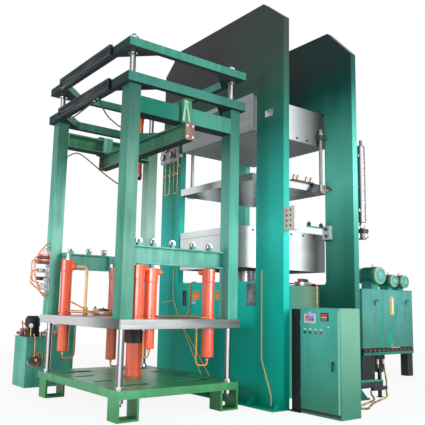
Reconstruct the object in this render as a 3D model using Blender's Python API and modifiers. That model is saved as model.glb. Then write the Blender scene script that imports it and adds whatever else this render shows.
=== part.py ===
"""Rubber vulcanizing press: a frame-plate press with its loader, control cabinet,
power pack and small feed unit, each built from separate pieces.

Metres, +Z up. +X runs from the loader through the press to the power pack, and
+Y runs away from the cabinet's side. Every place is measured from the loader's
floor corner, and one empty carries them all so that the origin lies on the
floor in the middle of the whole plant.
"""

from math import cos, pi, radians, sin

import bmesh
import bpy
from mathutils import Matrix, Vector

# Fits that the pieces share
SEAT = 0.0003
SLIDE_FIT = 0.001
OVERRUN = 0.05
LAP = 0.004

# Loader: base with four hollow feet
LOADER_LENGTH = 2.171
LOADER_WIDTH = 2.933
FOOT_LENGTH = 0.351
FOOT_WIDTH = 0.288
FOOT_HEIGHT = 0.310
FOOT_WALL = 0.036
FOOT_SOLE = 0.030
FAR_FOOT_INSET = 0.100
DECK_THICKNESS = 0.118
DECK_SLOT_LENGTH = 0.580
DECK_SLOT_WIDTH = 0.180
DECK_SLOT_END = 0.220
DECK_SLOT_EDGE = 0.420
DECK_VENT_LENGTH = 0.320
DECK_VENT_WIDTH = 0.140
DECK_VENT_END = 0.200
DECK_VENT_EDGE = 1.060

# Loader: four columns and the carriage that climbs them
POST_LENGTH = 0.197
POST_WIDTH = 0.236
POST_HEIGHT = 3.524
POST_WALL = 0.014
POST_INSET_X = 0.007
POST_INSET_Y = 0.035
PLATFORM_Z = 1.271
PLATFORM_THICKNESS = 0.140
PLATFORM_MARGIN = 0.030
HEAD_THICKNESS = 0.150
HEAD_MARGIN = 0.072
HEAD_BAR = 0.100
HEAD_CORNER = 0.460
CROWN_RISE = 0.408
CROWN_THICKNESS = 0.134
COLUMN_RADIUS = 0.047
COLUMN_BORE = 0.050
COLLAR_RADIUS = 0.068
COLLAR_HEIGHT = 0.038
TOP_NUT_RADIUS = 0.082
TOP_NUT_HEIGHT = 0.090
FOOT_NUT_RADIUS = 0.062
FOOT_NUT_HEIGHT = 0.070
STUD_LENGTH = 0.045
STUD_RADIUS = 0.036

# Loader: head beams and the beam that hangs from them
HEAD_BEAM_DROP = 0.435
HEAD_BEAM_HEIGHT = 0.266
HEAD_BEAM_WALL = 0.022
HANGER_WIDTH = 0.173
HANGER_HEIGHT = 0.279
HANGER_FLANGE = 0.024
HANGER_WEB = 0.018
HANGER_REACH = 0.055
CLAMP_SHIFT = 0.0635
CLAMP_WIDTH = 0.184
CLAMP_TOP = 0.094
CLAMP_HOOK = 0.110

# Loader: roller beams that the lift cylinders carry
ROLLER_BEAM_DEPTH = 0.100
ROLLER_BEAM_WEB = 0.018
ROLLER_BEAM_FLANGE = 0.022
FRONT_BEAM_Y = 0.130
ROLLER_BEAM_RISE = 0.814
FRONT_BEAM_HEIGHT = 0.275
BACK_BEAM_INSET = 0.133
BACK_BEAM_HEIGHT = 0.295
BACK_BEAM_LENGTH = 1.010
BEAM_END_FIT = 0.003
ROLLER_RADIUS = 0.055
ROLLER_WIDTH = 0.046
ROLLER_SHOULDER = 0.020
ROLLER_SHOULDER_WIDTH = 0.006
ROLLER_PIN_RADIUS = 0.012
ROLLER_CLEARANCE = 0.014
CHEEK_THICKNESS = 0.012
CHEEK_WIDTH = 0.060
CHEEK_OVER_PIN = 0.030
CHEEK_FIT = 0.001
FRONT_ROLLER_SHARES = (0.08, 0.225, 0.42, 0.643, 0.83)
BACK_ROLLER_SHARES = (0.22, 0.568, 0.878)

# Loader: lift cylinders through the platform and their rods
LIFT_RADIUS = 0.096
LIFT_HEAD_RADIUS = 0.105
LIFT_HEAD_HEIGHT = 0.200
LIFT_FLANGE_RADIUS = 0.114
LIFT_FLANGE_HEIGHT = 0.036
LIFT_LOWER_RADIUS = 0.099
LIFT_SLIM_RADIUS = 0.076
LIFT_CAP_EDGE = 0.008
LIFT_ROD_RADIUS = 0.036
LIFT_BORE_FLOOR = 0.040
LIFT_ROD_STANDOFF = 0.060
LIFT_1_X = 0.354
LIFT_1_REACH = 0.794
LIFT_1_DROP = 0.012
LIFT_2_X = 0.585
LIFT_2_REACH = 0.754
LIFT_2_DROP = 0.291
LIFT_3_INSET = 0.501
LIFT_3_REACH = 0.794
LIFT_3_DROP = 0.451
LIFT_4_X = 0.250
LIFT_4_STANDOFF = 0.200
LIFT_4_REACH = 0.965
LIFT_4_DROP = 0.481
LIFT_5_PAST = 0.116
LIFT_5_REACH = 0.889
LIFT_5_DROP = 0.691
LUG_WIDTH = 0.084
LUG_HEIGHT = 0.070
END_BRACKET_HEIGHT = 0.150

# Loader: central ram under the platform
LOADER_RAM_RADIUS = 0.137
LOADER_RAM_BASE_RADIUS = 0.152
LOADER_RAM_BASE_HEIGHT = 0.040
LOADER_RAM_HEIGHT = 0.552
LOADER_RAM_BORE = 0.092
LOADER_RAM_FLOOR = 0.030
PLUNGER_RADIUS = 0.090
PLUNGER_STANDOFF = 0.050
PLUNGER_COLLAR_RADIUS = 0.195

# Press: two frame plates
LOADER_TO_PLATE = 0.521
PLATE_SPACING = 1.664
PLATE_THICKNESS = 0.132
PLATE_Y = -0.499
PLATE_WIDTH = 3.760
PLATE_HEIGHT = 7.098
LEG_WIDTH = 0.688
WINDOW_Z = 2.056
WINDOW_HEIGHT = 3.401
WINDOW_CORNER = 0.060
PLATE_1_CHAMFER = 0.522
PLATE_1_CHAMFER_DROP = 0.438
PLATE_2_CHAMFER = 0.586
PLATE_2_CHAMFER_DROP = 0.620
SOLE_REACH = 0.235
SOLE_THICKNESS = 0.030
GUSSET_HEIGHT = 0.190
GUSSET_REACH = 0.200
GUSSET_THICKNESS = 0.020
GUSSET_INSET = 0.012

# Press: blocks, table and main ram
BLOCK_OVERHANG = 0.034
BLOCK_WIDTH = 2.226
UPPER_BLOCK_HEIGHT = 0.693
LOWER_DAYLIGHT = 0.791
PLATEN_THICKNESS = 0.141
TABLE_OVERHANG = 0.140
TABLE_WIDTH = 1.856
TABLE_RISE = 0.246
TABLE_HEIGHT = 0.743
TABLE_GROOVE_DROP = 0.120
TABLE_GROOVE = 0.010
BED_WIDTH = 2.062
BED_DROP = 0.036
BED_FLOOR = 0.280
RAM_RADIUS = 0.290
RAM_STANDOFF = 0.020

# Press: rods that hang the middle platen from the upper block
GUIDE_ROD_RADIUS = 0.034
GUIDE_ROD_OUT = 0.062
GUIDE_ROD_LENGTH = 1.120
GUIDE_NUT_RADIUS = 0.052
GUIDE_NUT_HEIGHT = 0.060
GUIDE_NEAR_INSET = 0.098
GUIDE_FAR_INSET = 0.156
EAR_WIDTH = 0.150
EAR_REACH = 0.125
BRACKET_RISE = 0.116
BRACKET_HEIGHT = 0.080

# Press: boxes on plate 1 and the accumulator behind plate 2
GAUGE_BOX_PAST_WINDOW = 0.070
GAUGE_BOX_WIDTH = 0.609
GAUGE_BOX_Z = 4.626
GAUGE_BOX_HEIGHT = 0.389
GAUGE_BOX_DEPTH = 0.080
BUTTON_BOX_LENGTH = 0.121
BUTTON_BOX_REACH = 0.250
BUTTON_BOX_Z = 2.880
BUTTON_BOX_HEIGHT = 0.390
BOX_EDGE = 0.008
ACCUMULATOR_OUT = 0.210
ACCUMULATOR_INSET = 0.079
ACCUMULATOR_Z = 2.900
ACCUMULATOR_LENGTH = 1.600
ACCUMULATOR_RADIUS = 0.0775
ACCUMULATOR_NECK = 0.030
ACCUMULATOR_NECK_LENGTH = 0.090
ACCUMULATOR_DOME = 0.060
ACCUMULATOR_FOOT_RADIUS = 0.045
ACCUMULATOR_FOOT_LENGTH = 0.320
CLIP_HEIGHT = 0.060
CLIP_THICKNESS = 0.050
LOW_CLIP_Z = 3.420
HIGH_CLIP_Z = 4.480

# Control cabinet, its door and buttons, and the duct beside it
CABINET_BEHIND_PLATE = 0.127
CABINET_LENGTH = 0.468
DUCT_WIDTH = 0.250
CABINET_WIDTH = 0.802
CABINET_HEIGHT = 1.623
CABINET_WALL = 0.012
PLINTH_HEIGHT = 0.075
DOOR_THICKNESS = 0.022
DOOR_INSET = 0.006
DOOR_TOP_INSET = 0.012
HINGE_RADIUS = 0.008
HINGE_LENGTH = 0.090
HINGE_INSET = 0.180
BUTTON_Z = 1.243
BUTTON_1_INSET = 0.103
BUTTON_STEP = 0.111
BUTTON_CAP_RADIUS = 0.019
BUTTON_CAP_HEIGHT = 0.012
BUTTON_STEM_RADIUS = 0.011
BUTTON_STEM_FIT = 0.001
BUTTON_TRAVEL = 0.006
BUTTON_BEZEL_FIT = 0.001
BUTTON_STEM_PAST = 0.012
HANDLE_INSET = 0.124
HANDLE_Z = 0.815
HANDLE_BOSS_RADIUS = 0.016
HANDLE_BOSS_LENGTH = 0.034
HANDLE_WIDTH = 0.026
HANDLE_LENGTH = 0.130
HANDLE_THICKNESS = 0.012
HANDLE_SPINDLE_RADIUS = 0.007
HANDLE_SPINDLE_FIT = 0.0008
HANDLE_SPINDLE_PAST = 0.010
DUCT_BEHIND_PLATE = 0.188
DUCT_LENGTH = 0.250
DUCT_HEIGHT = 1.600
DUCT_SOLE_REACH = 0.050
DUCT_SOLE_LAP = 0.029
DUCT_SOLE_THICKNESS = 0.018

# Power pack: stand, tank, cover and motors
PLATE_TO_TANK = 2.359
TANK_LENGTH = 1.948
TANK_Y = 1.318
TANK_WIDTH = 1.130
TANK_Z = 0.708
TANK_HEIGHT = 1.339
TANK_WALL = 0.012
COVER_THICKNESS = 0.020
COVER_MARGIN = 0.012
STAND_RAIL_DROP = 0.110
STAND_RAIL_HEIGHT = 0.035
STAND_RAIL_WIDTH = 0.160
STAND_BLOCK_INSET = 0.030
STAND_LEFT_LEG = 0.455
STAND_RIGHT_LEG = 0.219
STAND_LEG_WIDTH = 0.200
STAND_SKID_HEIGHT = 0.120
STAND_SKID_WIDTH = 0.120
MOTOR_1_ALONG = 0.771
MOTOR_1_RADIUS = 0.205
MOTOR_1_LENGTH = 0.620
MOTOR_1_RISE = 0.333
MOTOR_2_ALONG = 1.321
MOTOR_2_RADIUS = 0.150
MOTOR_2_LENGTH = 0.500
MOTOR_2_RISE = 0.223
MOTOR_3_ALONG = 1.761
MOTOR_3_RADIUS = 0.158
MOTOR_3_LENGTH = 0.500
MOTOR_3_RISE = 0.218
MOTOR_INSET = 0.060
MOTOR_END_SHARE = 0.08
MOTOR_END_RADIUS_SHARE = 0.72
MOTOR_COWL_SHARE = 0.22
MOTOR_RIM_SHARE = 0.93
MOTOR_FOOT_WIDTH_SHARE = 0.62
MOTOR_FOOT_LENGTH_SHARE = 0.5

# Feed unit behind the loader
FEED_X = 0.114
FEED_LENGTH = 0.967
LOADER_TO_FEED = 0.936
FEED_WIDTH = 0.653
FEED_HEIGHT = 0.950
FEED_TOP_MARGIN = 0.015
FEED_TOP_THICKNESS = 0.018
FEED_TOWER_LENGTH = 0.300
FEED_TOWER_HEIGHT = 0.220
FEED_MOTOR_ALONG = 0.186
FEED_MOTOR_ACROSS = 0.251
FEED_MOTOR_RADIUS = 0.145
FEED_MOTOR_HEIGHT = 0.400
FEED_MOTOR_FLANGE = 0.030
FEED_MOTOR_DOME = 0.060

# Hoses from the power pack to the cabinet
HOSE_RADIUS = 0.018
HOSE_POINTS = 52
GLAND_RADIUS = 0.030
GLAND_LENGTH = 0.050
HOSE_1_ROUTE = (
    (7.640, 1.420, 0.440),
    (7.640, 1.420, 0.390),
    (7.640, 1.420, 0.340),
    (7.630, 1.400, 0.220),
    (7.560, 1.320, 0.100),
    (7.350, 1.180, 0.030),
    (6.900, 0.920, 0.021),
    (6.350, 0.540, 0.021),
    (5.720, 0.080, 0.021),
    (5.220, -0.330, 0.021),
    (4.840, -0.590, 0.021),
    (4.500, -0.760, 0.021),
    (4.120, -0.920, 0.026),
    (3.780, -1.020, 0.060),
    (3.520, -1.040, 0.110),
    (3.420, -1.040, 0.120),
    (3.338, -1.040, 0.120),
)
HOSE_2_ROUTE = (
    (7.860, 1.420, 0.440),
    (7.860, 1.420, 0.390),
    (7.860, 1.420, 0.340),
    (7.855, 1.395, 0.220),
    (7.800, 1.290, 0.100),
    (7.600, 1.080, 0.030),
    (7.000, 0.620, 0.021),
    (6.260, 0.090, 0.021),
    (5.750, -0.240, 0.021),
    (5.250, -0.540, 0.021),
    (4.720, -0.820, 0.021),
    (4.200, -1.090, 0.022),
    (3.820, -1.250, 0.045),
    (3.520, -1.300, 0.085),
    (3.420, -1.300, 0.090),
    (3.338, -1.300, 0.090),
)

# Round pieces' sides
FINE_SIDES = 36
ROUND_SIDES = 16
SMALL_SIDES = 12

# Loader's heights and edges, from the sizes above
DECK_Z = FOOT_HEIGHT + DECK_THICKNESS
PLATFORM_TOP = PLATFORM_Z + PLATFORM_THICKNESS
HEAD_Z = PLATFORM_TOP + POST_HEIGHT
HEAD_TOP = HEAD_Z + HEAD_THICKNESS
CROWN_Z = HEAD_TOP + CROWN_RISE
CROWN_TOP = CROWN_Z + CROWN_THICKNESS
HEAD_BEAM_Z = HEAD_Z - HEAD_BEAM_DROP
HANGER_X = LOADER_LENGTH / 2
CLAMP_X = HANGER_X - CLAMP_SHIFT
HANGER_Z = HEAD_BEAM_Z - SLIDE_FIT - HANGER_HEIGHT
COLUMN_X = POST_INSET_X + POST_LENGTH / 2
COLUMN_Y = POST_INSET_Y + POST_WIDTH / 2
POST_INNER_X = POST_INSET_X + POST_LENGTH
POST_INNER_Y = POST_INSET_Y + POST_WIDTH
FRONT_BEAM_LENGTH = LOADER_LENGTH - 2 * POST_INNER_X
FRONT_BEAM_Z = PLATFORM_TOP + ROLLER_BEAM_RISE
BACK_BEAM_Z = FRONT_BEAM_Z
BACK_BEAM_Y = LOADER_WIDTH - BACK_BEAM_INSET - ROLLER_BEAM_DEPTH
FRONT_LIFT_Y = FRONT_BEAM_Y + ROLLER_BEAM_DEPTH / 2
LIFT_3_X = LOADER_LENGTH - LIFT_3_INSET
LIFT_4_Y = BACK_BEAM_Y - LIFT_4_STANDOFF
LIFT_5_X = POST_INNER_X + BACK_BEAM_LENGTH + LIFT_5_PAST
LIFT_5_Y = BACK_BEAM_Y + ROLLER_BEAM_DEPTH / 2
LOADER_RAM_X = LOADER_LENGTH / 2
LOADER_RAM_Y = LOADER_WIDTH / 2
LOADER_RAM_TOP = DECK_Z + LOADER_RAM_HEIGHT

# Press's planes, from the loader's end
PLATE_1_X = LOADER_LENGTH + LOADER_TO_PLATE
PLATE_2_X = PLATE_1_X + PLATE_THICKNESS + PLATE_SPACING
PLATE_END_X = PLATE_2_X + PLATE_THICKNESS
PLATE_END_Y = PLATE_Y + PLATE_WIDTH
PRESS_MIDDLE_X = (PLATE_1_X + PLATE_END_X) / 2
PRESS_MIDDLE_Y = PLATE_Y + PLATE_WIDTH / 2
WINDOW_TOP = WINDOW_Z + WINDOW_HEIGHT
BLOCK_X = PLATE_1_X - BLOCK_OVERHANG
BLOCK_END_X = PLATE_END_X + BLOCK_OVERHANG
BLOCK_Y = PRESS_MIDDLE_Y - BLOCK_WIDTH / 2
BLOCK_END_Y = BLOCK_Y + BLOCK_WIDTH
UPPER_BLOCK_TOP = WINDOW_TOP - SEAT
UPPER_BLOCK_Z = UPPER_BLOCK_TOP - UPPER_BLOCK_HEIGHT
BRACKET_Z = UPPER_BLOCK_Z + BRACKET_RISE
BED_Y = PRESS_MIDDLE_Y - BED_WIDTH / 2
BED_HEIGHT = WINDOW_Z - BED_DROP
TABLE_Y = PRESS_MIDDLE_Y - TABLE_WIDTH / 2
TABLE_Z = WINDOW_Z + TABLE_RISE
PLATEN_Z = TABLE_Z + TABLE_HEIGHT + LOWER_DAYLIGHT
GUIDE_NEAR_X = PLATE_2_X - GUIDE_NEAR_INSET
GUIDE_FAR_X = PLATE_1_X + PLATE_THICKNESS + GUIDE_FAR_INSET
GAUGE_BOX_Y = PLATE_END_Y - LEG_WIDTH + GAUGE_BOX_PAST_WINDOW
ACCUMULATOR_X = PLATE_END_X + ACCUMULATOR_OUT
ACCUMULATOR_Y = PLATE_Y + ACCUMULATOR_INSET

# Cabinet, duct, power pack and feed unit, from the press and the loader
CABINET_X = PLATE_1_X + CABINET_BEHIND_PLATE
CABINET_END_X = CABINET_X + CABINET_LENGTH
CABINET_END_Y = PLATE_Y - DUCT_WIDTH
CABINET_Y = CABINET_END_Y - CABINET_WIDTH
BUTTON_1_Y = CABINET_END_Y - BUTTON_1_INSET
HANDLE_Y = CABINET_Y + HANDLE_INSET
DUCT_X = PLATE_1_X + DUCT_BEHIND_PLATE
TANK_X = PLATE_END_X + PLATE_TO_TANK
TANK_END_X = TANK_X + TANK_LENGTH
TANK_END_Y = TANK_Y + TANK_WIDTH
TANK_TOP = TANK_Z + TANK_HEIGHT
COVER_TOP = TANK_TOP + SEAT + COVER_THICKNESS
STAND_RAIL_Z = TANK_Z - STAND_RAIL_DROP
FEED_Y = LOADER_WIDTH + LOADER_TO_FEED
FEED_MOTOR_X = FEED_X + FEED_MOTOR_ALONG
FEED_MOTOR_Y = FEED_Y + FEED_MOTOR_ACROSS

# Middle of the plant's floor area, from the loader's floor corner
MIDDLE_X = (TANK_END_X + COVER_MARGIN + POST_INSET_X - HEAD_MARGIN) / 2
MIDDLE_Y = (FEED_Y + FEED_WIDTH + FEED_TOP_MARGIN + CABINET_Y) / 2

for old in list(bpy.data.objects):
    bpy.data.objects.remove(old, do_unlink=True)

PARTS = bpy.data.collections.new("vulcanizing_press")
CUTTERS = bpy.data.collections.new("cutters")
bpy.context.scene.collection.children.link(PARTS)
bpy.context.scene.collection.children.link(CUTTERS)

SITE = bpy.data.objects.new("plant_site", None)
SITE.location = (-MIDDLE_X, -MIDDLE_Y, 0)
PARTS.objects.link(SITE)

COLOURS = {
    "press_green": ((0.06, 0.36, 0.31), 0.45, 0.0),
    "loader_green": ((0.22, 0.50, 0.44), 0.45, 0.0),
    "dark_green": ((0.04, 0.16, 0.12), 0.5, 0.0),
    "lift_red": ((0.75, 0.12, 0.08), 0.4, 0.0),
    "ram_steel": ((0.55, 0.56, 0.58), 0.25, 1.0),
    "platen_steel": ((0.42, 0.43, 0.45), 0.4, 1.0),
    "black_paint": ((0.03, 0.03, 0.035), 0.5, 0.0),
    "box_grey": ((0.62, 0.64, 0.66), 0.45, 0.0),
    "chrome": ((0.8, 0.8, 0.82), 0.08, 1.0),
    "button_green": ((0.05, 0.35, 0.12), 0.4, 0.0),
    "button_red": ((0.65, 0.05, 0.05), 0.4, 0.0),
    "hose_rubber": ((0.03, 0.03, 0.03), 0.6, 0.0),
    "motor_blue": ((0.10, 0.32, 0.40), 0.4, 0.0),
}


def material(part, name):
    """Gives the part its own Principled material in one of the plant's colours."""
    colour, roughness, metallic = COLOURS[name]
    paint = bpy.data.materials.new(f"{part.name}_{name}")
    paint.use_nodes = True
    shader = paint.node_tree.nodes["Principled BSDF"]
    shader.inputs["Base Color"].default_value = (*colour, 1.0)
    shader.inputs["Roughness"].default_value = roughness
    shader.inputs["Metallic"].default_value = metallic
    part.data.materials.append(paint)
    return part


def adopt(name, mesh, place=(0, 0, 0)):
    """Makes an object of the mesh, carried by the plant's empty."""
    part = bpy.data.objects.new(name, mesh)
    part.parent = SITE
    part.location = place
    PARTS.objects.link(part)
    return part


def box(name, x, y, z):
    """A box between two values on each axis, with its origin at its middle."""
    low = Vector((x[0], y[0], z[0]))
    high = Vector((x[1], y[1], z[1]))
    form = bmesh.new()
    bmesh.ops.create_cube(form, size=1)
    bmesh.ops.scale(form, vec=high - low, verts=form.verts)
    mesh = bpy.data.meshes.new(name)
    form.to_mesh(mesh)
    form.free()
    return adopt(name, mesh, (low + high) / 2)


def turned(name, profile, place, axis="Z", sides=ROUND_SIDES, ring=False):
    """Turns a profile of (radius, height) pairs, top to bottom down its outer side.

    A ring's profile goes on up its inner side and closes on itself.
    """
    mesh = bpy.data.meshes.new(name)
    edges = [(i, i + 1) for i in range(len(profile) - 1)]
    if ring:
        edges.append((len(profile) - 1, 0))
    mesh.from_pydata([(radius, 0, height) for radius, height in profile], edges, [])
    part = adopt(name, mesh, place)
    if axis == "X":
        part.rotation_euler = (0, pi / 2, 0)
    elif axis == "Y":
        part.rotation_euler = (pi / 2, 0, 0)
    screw = part.modifiers.new("turn", "SCREW")
    screw.steps = sides
    screw.render_steps = sides
    screw.use_merge_vertices = True
    screw.merge_threshold = 0.00005
    screw.use_smooth_shade = True
    return part


def rod(name, radius, length, place, axis="Z", sides=ROUND_SIDES):
    """A plain cylinder whose foot stands at the place and whose length follows the axis."""
    return turned(name, [(0, length), (radius, length), (radius, 0), (0, 0)], place, axis, sides)


def slab(name, outline, span, plane):
    """Extrudes a flat outline. The plane names its two axes, and span is the third axis' reach."""
    curve = bpy.data.curves.new(name, "CURVE")
    curve.dimensions = "2D"
    curve.fill_mode = "BOTH"
    curve.extrude = (span[1] - span[0]) / 2
    spline = curve.splines.new("POLY")
    spline.points.add(len(outline) - 1)
    for point, (a, b) in zip(spline.points, outline):
        point.co = (a, b, 0, 1)
    spline.use_cyclic_u = True
    flat = bpy.data.objects.new(f"{name}_outline", curve)
    CUTTERS.objects.link(flat)
    bpy.context.view_layer.update()
    solid = flat.evaluated_get(bpy.context.evaluated_depsgraph_get())
    mesh = bpy.data.meshes.new_from_object(solid)
    bpy.data.objects.remove(flat, do_unlink=True)
    form = bmesh.new()
    form.from_mesh(mesh)
    bmesh.ops.remove_doubles(form, verts=form.verts, dist=0.00002)
    middle = (span[0] + span[1]) / 2
    turn = {
        "XY": Matrix(((1, 0, 0), (0, 1, 0), (0, 0, 1))),
        "YZ": Matrix(((0, 0, 1), (1, 0, 0), (0, 1, 0))),
        "XZ": Matrix(((1, 0, 0), (0, 0, 1), (0, 1, 0))),
    }[plane]
    shift = turn @ Vector((0, 0, middle))
    bmesh.ops.transform(form, matrix=Matrix.Translation(shift) @ turn.to_4x4(), verts=form.verts)
    bmesh.ops.recalc_face_normals(form, faces=form.faces)
    form.to_mesh(mesh)
    form.free()
    mesh.name = name
    return adopt(name, mesh)


def set_aside(tool):
    """Moves a cutter or a joined shape out of the parts."""
    PARTS.objects.unlink(tool)
    CUTTERS.objects.link(tool)
    tool.hide_render = True
    tool.display_type = "WIRE"


def combine(part, tool, operation):
    boolean = part.modifiers.new(tool.name, "BOOLEAN")
    boolean.operation = operation
    boolean.solver = "EXACT"
    boolean.object = tool
    set_aside(tool)


def cut(part, *tools):
    for tool in tools:
        combine(part, tool, "DIFFERENCE")


def join(part, *tools):
    for tool in tools:
        combine(part, tool, "UNION")


def bevel(part, width, segments=2):
    edge = part.modifiers.new("edge", "BEVEL")
    edge.width = width
    edge.segments = segments
    edge.limit_method = "ANGLE"
    edge.angle_limit = radians(40)


def mirrored(low, high, whole):
    """The same span measured from the far side of a width."""
    return whole - high, whole - low


def columns():
    """The four columns' middles, numbered from the near left one."""
    xs = (COLUMN_X, LOADER_LENGTH - COLUMN_X)
    ys = (COLUMN_Y, LOADER_WIDTH - COLUMN_Y)
    return [(x, y) for y in ys for x in xs]


def column_holes(name, z, depth):
    return [
        rod(f"{name}_column_hole_{n}", COLUMN_BORE, depth, (x, y, z))
        for n, (x, y) in enumerate(columns(), 1)
    ]


# Loader base: a slotted deck on four hollow feet
def make_base():
    deck = box("loader_base", (0, LOADER_LENGTH), (0, LOADER_WIDTH), (FOOT_HEIGHT, DECK_Z))
    foot_xs = ((0, FOOT_LENGTH), mirrored(0, FOOT_LENGTH, LOADER_LENGTH))
    far_foot = mirrored(FAR_FOOT_INSET, FAR_FOOT_INSET + FOOT_WIDTH, LOADER_WIDTH)
    foot_ys = ((0, FOOT_WIDTH), far_foot)
    for row, (y0, y1) in enumerate(foot_ys):
        for side, (x0, x1) in enumerate(foot_xs):
            name = f"loader_foot_{row}{side}"
            join(deck, box(name, (x0, x1), (y0, y1), (0, FOOT_HEIGHT + DECK_THICKNESS / 2)))
            tunnel_x = (x0 + FOOT_WALL, x1 - FOOT_WALL)
            tunnel_y = (y0 - OVERRUN, y1 + OVERRUN)
            cut(deck, box(f"{name}_tunnel", tunnel_x, tunnel_y, (FOOT_SOLE, FOOT_HEIGHT)))
    reach = (FOOT_HEIGHT - OVERRUN, DECK_Z + OVERRUN)
    for kind, end, length, edge, width in (
        ("slot", DECK_SLOT_END, DECK_SLOT_LENGTH, DECK_SLOT_EDGE, DECK_SLOT_WIDTH),
        ("vent", DECK_VENT_END, DECK_VENT_LENGTH, DECK_VENT_EDGE, DECK_VENT_WIDTH),
    ):
        xs = (end, end + length)
        ys = (edge, edge + width)
        for row, y in enumerate((ys, mirrored(*ys, LOADER_WIDTH))):
            for side, x in enumerate((xs, mirrored(*xs, LOADER_LENGTH))):
                cut(deck, box(f"deck_{kind}_{row}{side}", x, y, reach))
    cut(deck, *column_holes("deck", FOOT_HEIGHT - OVERRUN, DECK_THICKNESS + 2 * OVERRUN))
    return material(deck, "loader_green")


# Columns: each has a nut in the foot, a collar on the deck, one under the crown and a nut on top
def make_columns():
    low = FOOT_HEIGHT - SEAT
    deck = DECK_Z + SEAT
    crown = CROWN_Z - SEAT
    top = CROWN_TOP + SEAT
    profile = [
        (0, top + TOP_NUT_HEIGHT + STUD_LENGTH),
        (STUD_RADIUS, top + TOP_NUT_HEIGHT + STUD_LENGTH),
        (STUD_RADIUS, top + TOP_NUT_HEIGHT),
        (TOP_NUT_RADIUS, top + TOP_NUT_HEIGHT),
        (TOP_NUT_RADIUS, top),
        (COLUMN_RADIUS, top),
        (COLUMN_RADIUS, crown),
        (COLLAR_RADIUS, crown),
        (COLLAR_RADIUS, crown - COLLAR_HEIGHT),
        (COLUMN_RADIUS, crown - COLLAR_HEIGHT),
        (COLUMN_RADIUS, deck + COLLAR_HEIGHT),
        (COLLAR_RADIUS, deck + COLLAR_HEIGHT),
        (COLLAR_RADIUS, deck),
        (COLUMN_RADIUS, deck),
        (COLUMN_RADIUS, low),
        (FOOT_NUT_RADIUS, low),
        (FOOT_NUT_RADIUS, low - FOOT_NUT_HEIGHT),
        (STUD_RADIUS, low - FOOT_NUT_HEIGHT),
        (STUD_RADIUS, low - FOOT_NUT_HEIGHT - STUD_LENGTH),
        (0, low - FOOT_NUT_HEIGHT - STUD_LENGTH),
    ]
    for n, (x, y) in enumerate(columns(), 1):
        column = turned(f"guide_column_{n}", profile, (x, y, 0), sides=ROUND_SIDES)
        material(column, "ram_steel")


def lifts():
    """Each lift cylinder's middle, top, low end and the radius of its barrel there."""
    slim = LIFT_SLIM_RADIUS
    wide = LIFT_LOWER_RADIUS
    return (
        (LIFT_1_X, FRONT_LIFT_Y, PLATFORM_TOP + LIFT_1_REACH, PLATFORM_Z - LIFT_1_DROP, slim),
        (LIFT_2_X, FRONT_LIFT_Y, PLATFORM_TOP + LIFT_2_REACH, PLATFORM_Z - LIFT_2_DROP, slim),
        (LIFT_3_X, FRONT_LIFT_Y, PLATFORM_TOP + LIFT_3_REACH, PLATFORM_Z - LIFT_3_DROP, wide),
        (LIFT_4_X, LIFT_4_Y, PLATFORM_TOP + LIFT_4_REACH, PLATFORM_Z - LIFT_4_DROP, wide),
        (LIFT_5_X, LIFT_5_Y, PLATFORM_TOP + LIFT_5_REACH, PLATFORM_Z - LIFT_5_DROP, wide),
    )


# Platform: the carriage's floor, bored for the columns and the lift cylinders
def make_platform():
    margin_x = POST_INSET_X - PLATFORM_MARGIN
    margin_y = POST_INSET_Y - PLATFORM_MARGIN
    platform = box(
        "lift_platform",
        (margin_x, LOADER_LENGTH - margin_x),
        (margin_y, LOADER_WIDTH - margin_y),
        (PLATFORM_Z, PLATFORM_TOP),
    )
    depth = PLATFORM_THICKNESS + 2 * OVERRUN
    cut(platform, *column_holes("platform", PLATFORM_Z - OVERRUN, depth))
    for n, (x, y, top, low, barrel) in enumerate(lifts(), 1):
        place = (x, y, PLATFORM_Z - OVERRUN)
        cut(platform, rod(f"platform_lift_hole_{n}", barrel + SLIDE_FIT, depth, place))
    material(platform, "loader_green")


# Carriage posts: square tubes around the columns
def make_posts():
    low = PLATFORM_TOP + SEAT
    high = HEAD_Z - SEAT
    for n, (x, y) in enumerate(columns(), 1):
        half_x = POST_LENGTH / 2
        half_y = POST_WIDTH / 2
        post = box(f"carriage_post_{n}", (x - half_x, x + half_x), (y - half_y, y + half_y), (low, high))
        bore_x = (x - half_x + POST_WALL, x + half_x - POST_WALL)
        bore_y = (y - half_y + POST_WALL, y + half_y - POST_WALL)
        cut(post, box(f"carriage_post_{n}_bore", bore_x, bore_y, (low - OVERRUN, high + OVERRUN)))
        material(post, "loader_green")


# Head frame and crown: plates with an eight-sided opening, bored for the columns
def make_ring_frame(name, z, thickness):
    out_x = POST_INSET_X - HEAD_MARGIN
    out_y = POST_INSET_Y - HEAD_MARGIN
    frame = box(
        name, (out_x, LOADER_LENGTH - out_x), (out_y, LOADER_WIDTH - out_y), (z, z + thickness)
    )
    x0 = out_x + HEAD_BAR
    y0 = out_y + HEAD_BAR
    x1 = LOADER_LENGTH - x0
    y1 = LOADER_WIDTH - y0
    c = HEAD_CORNER
    opening = [
        (x0 + c, y0),
        (x1 - c, y0),
        (x1, y0 + c),
        (x1, y1 - c),
        (x1 - c, y1),
        (x0 + c, y1),
        (x0, y1 - c),
        (x0, y0 + c),
    ]
    cut(frame, slab(f"{name}_opening", opening, (z - OVERRUN, z + thickness + OVERRUN), "XY"))
    cut(frame, *column_holes(name, z - OVERRUN, thickness + 2 * OVERRUN))
    material(frame, "loader_green")


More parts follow.
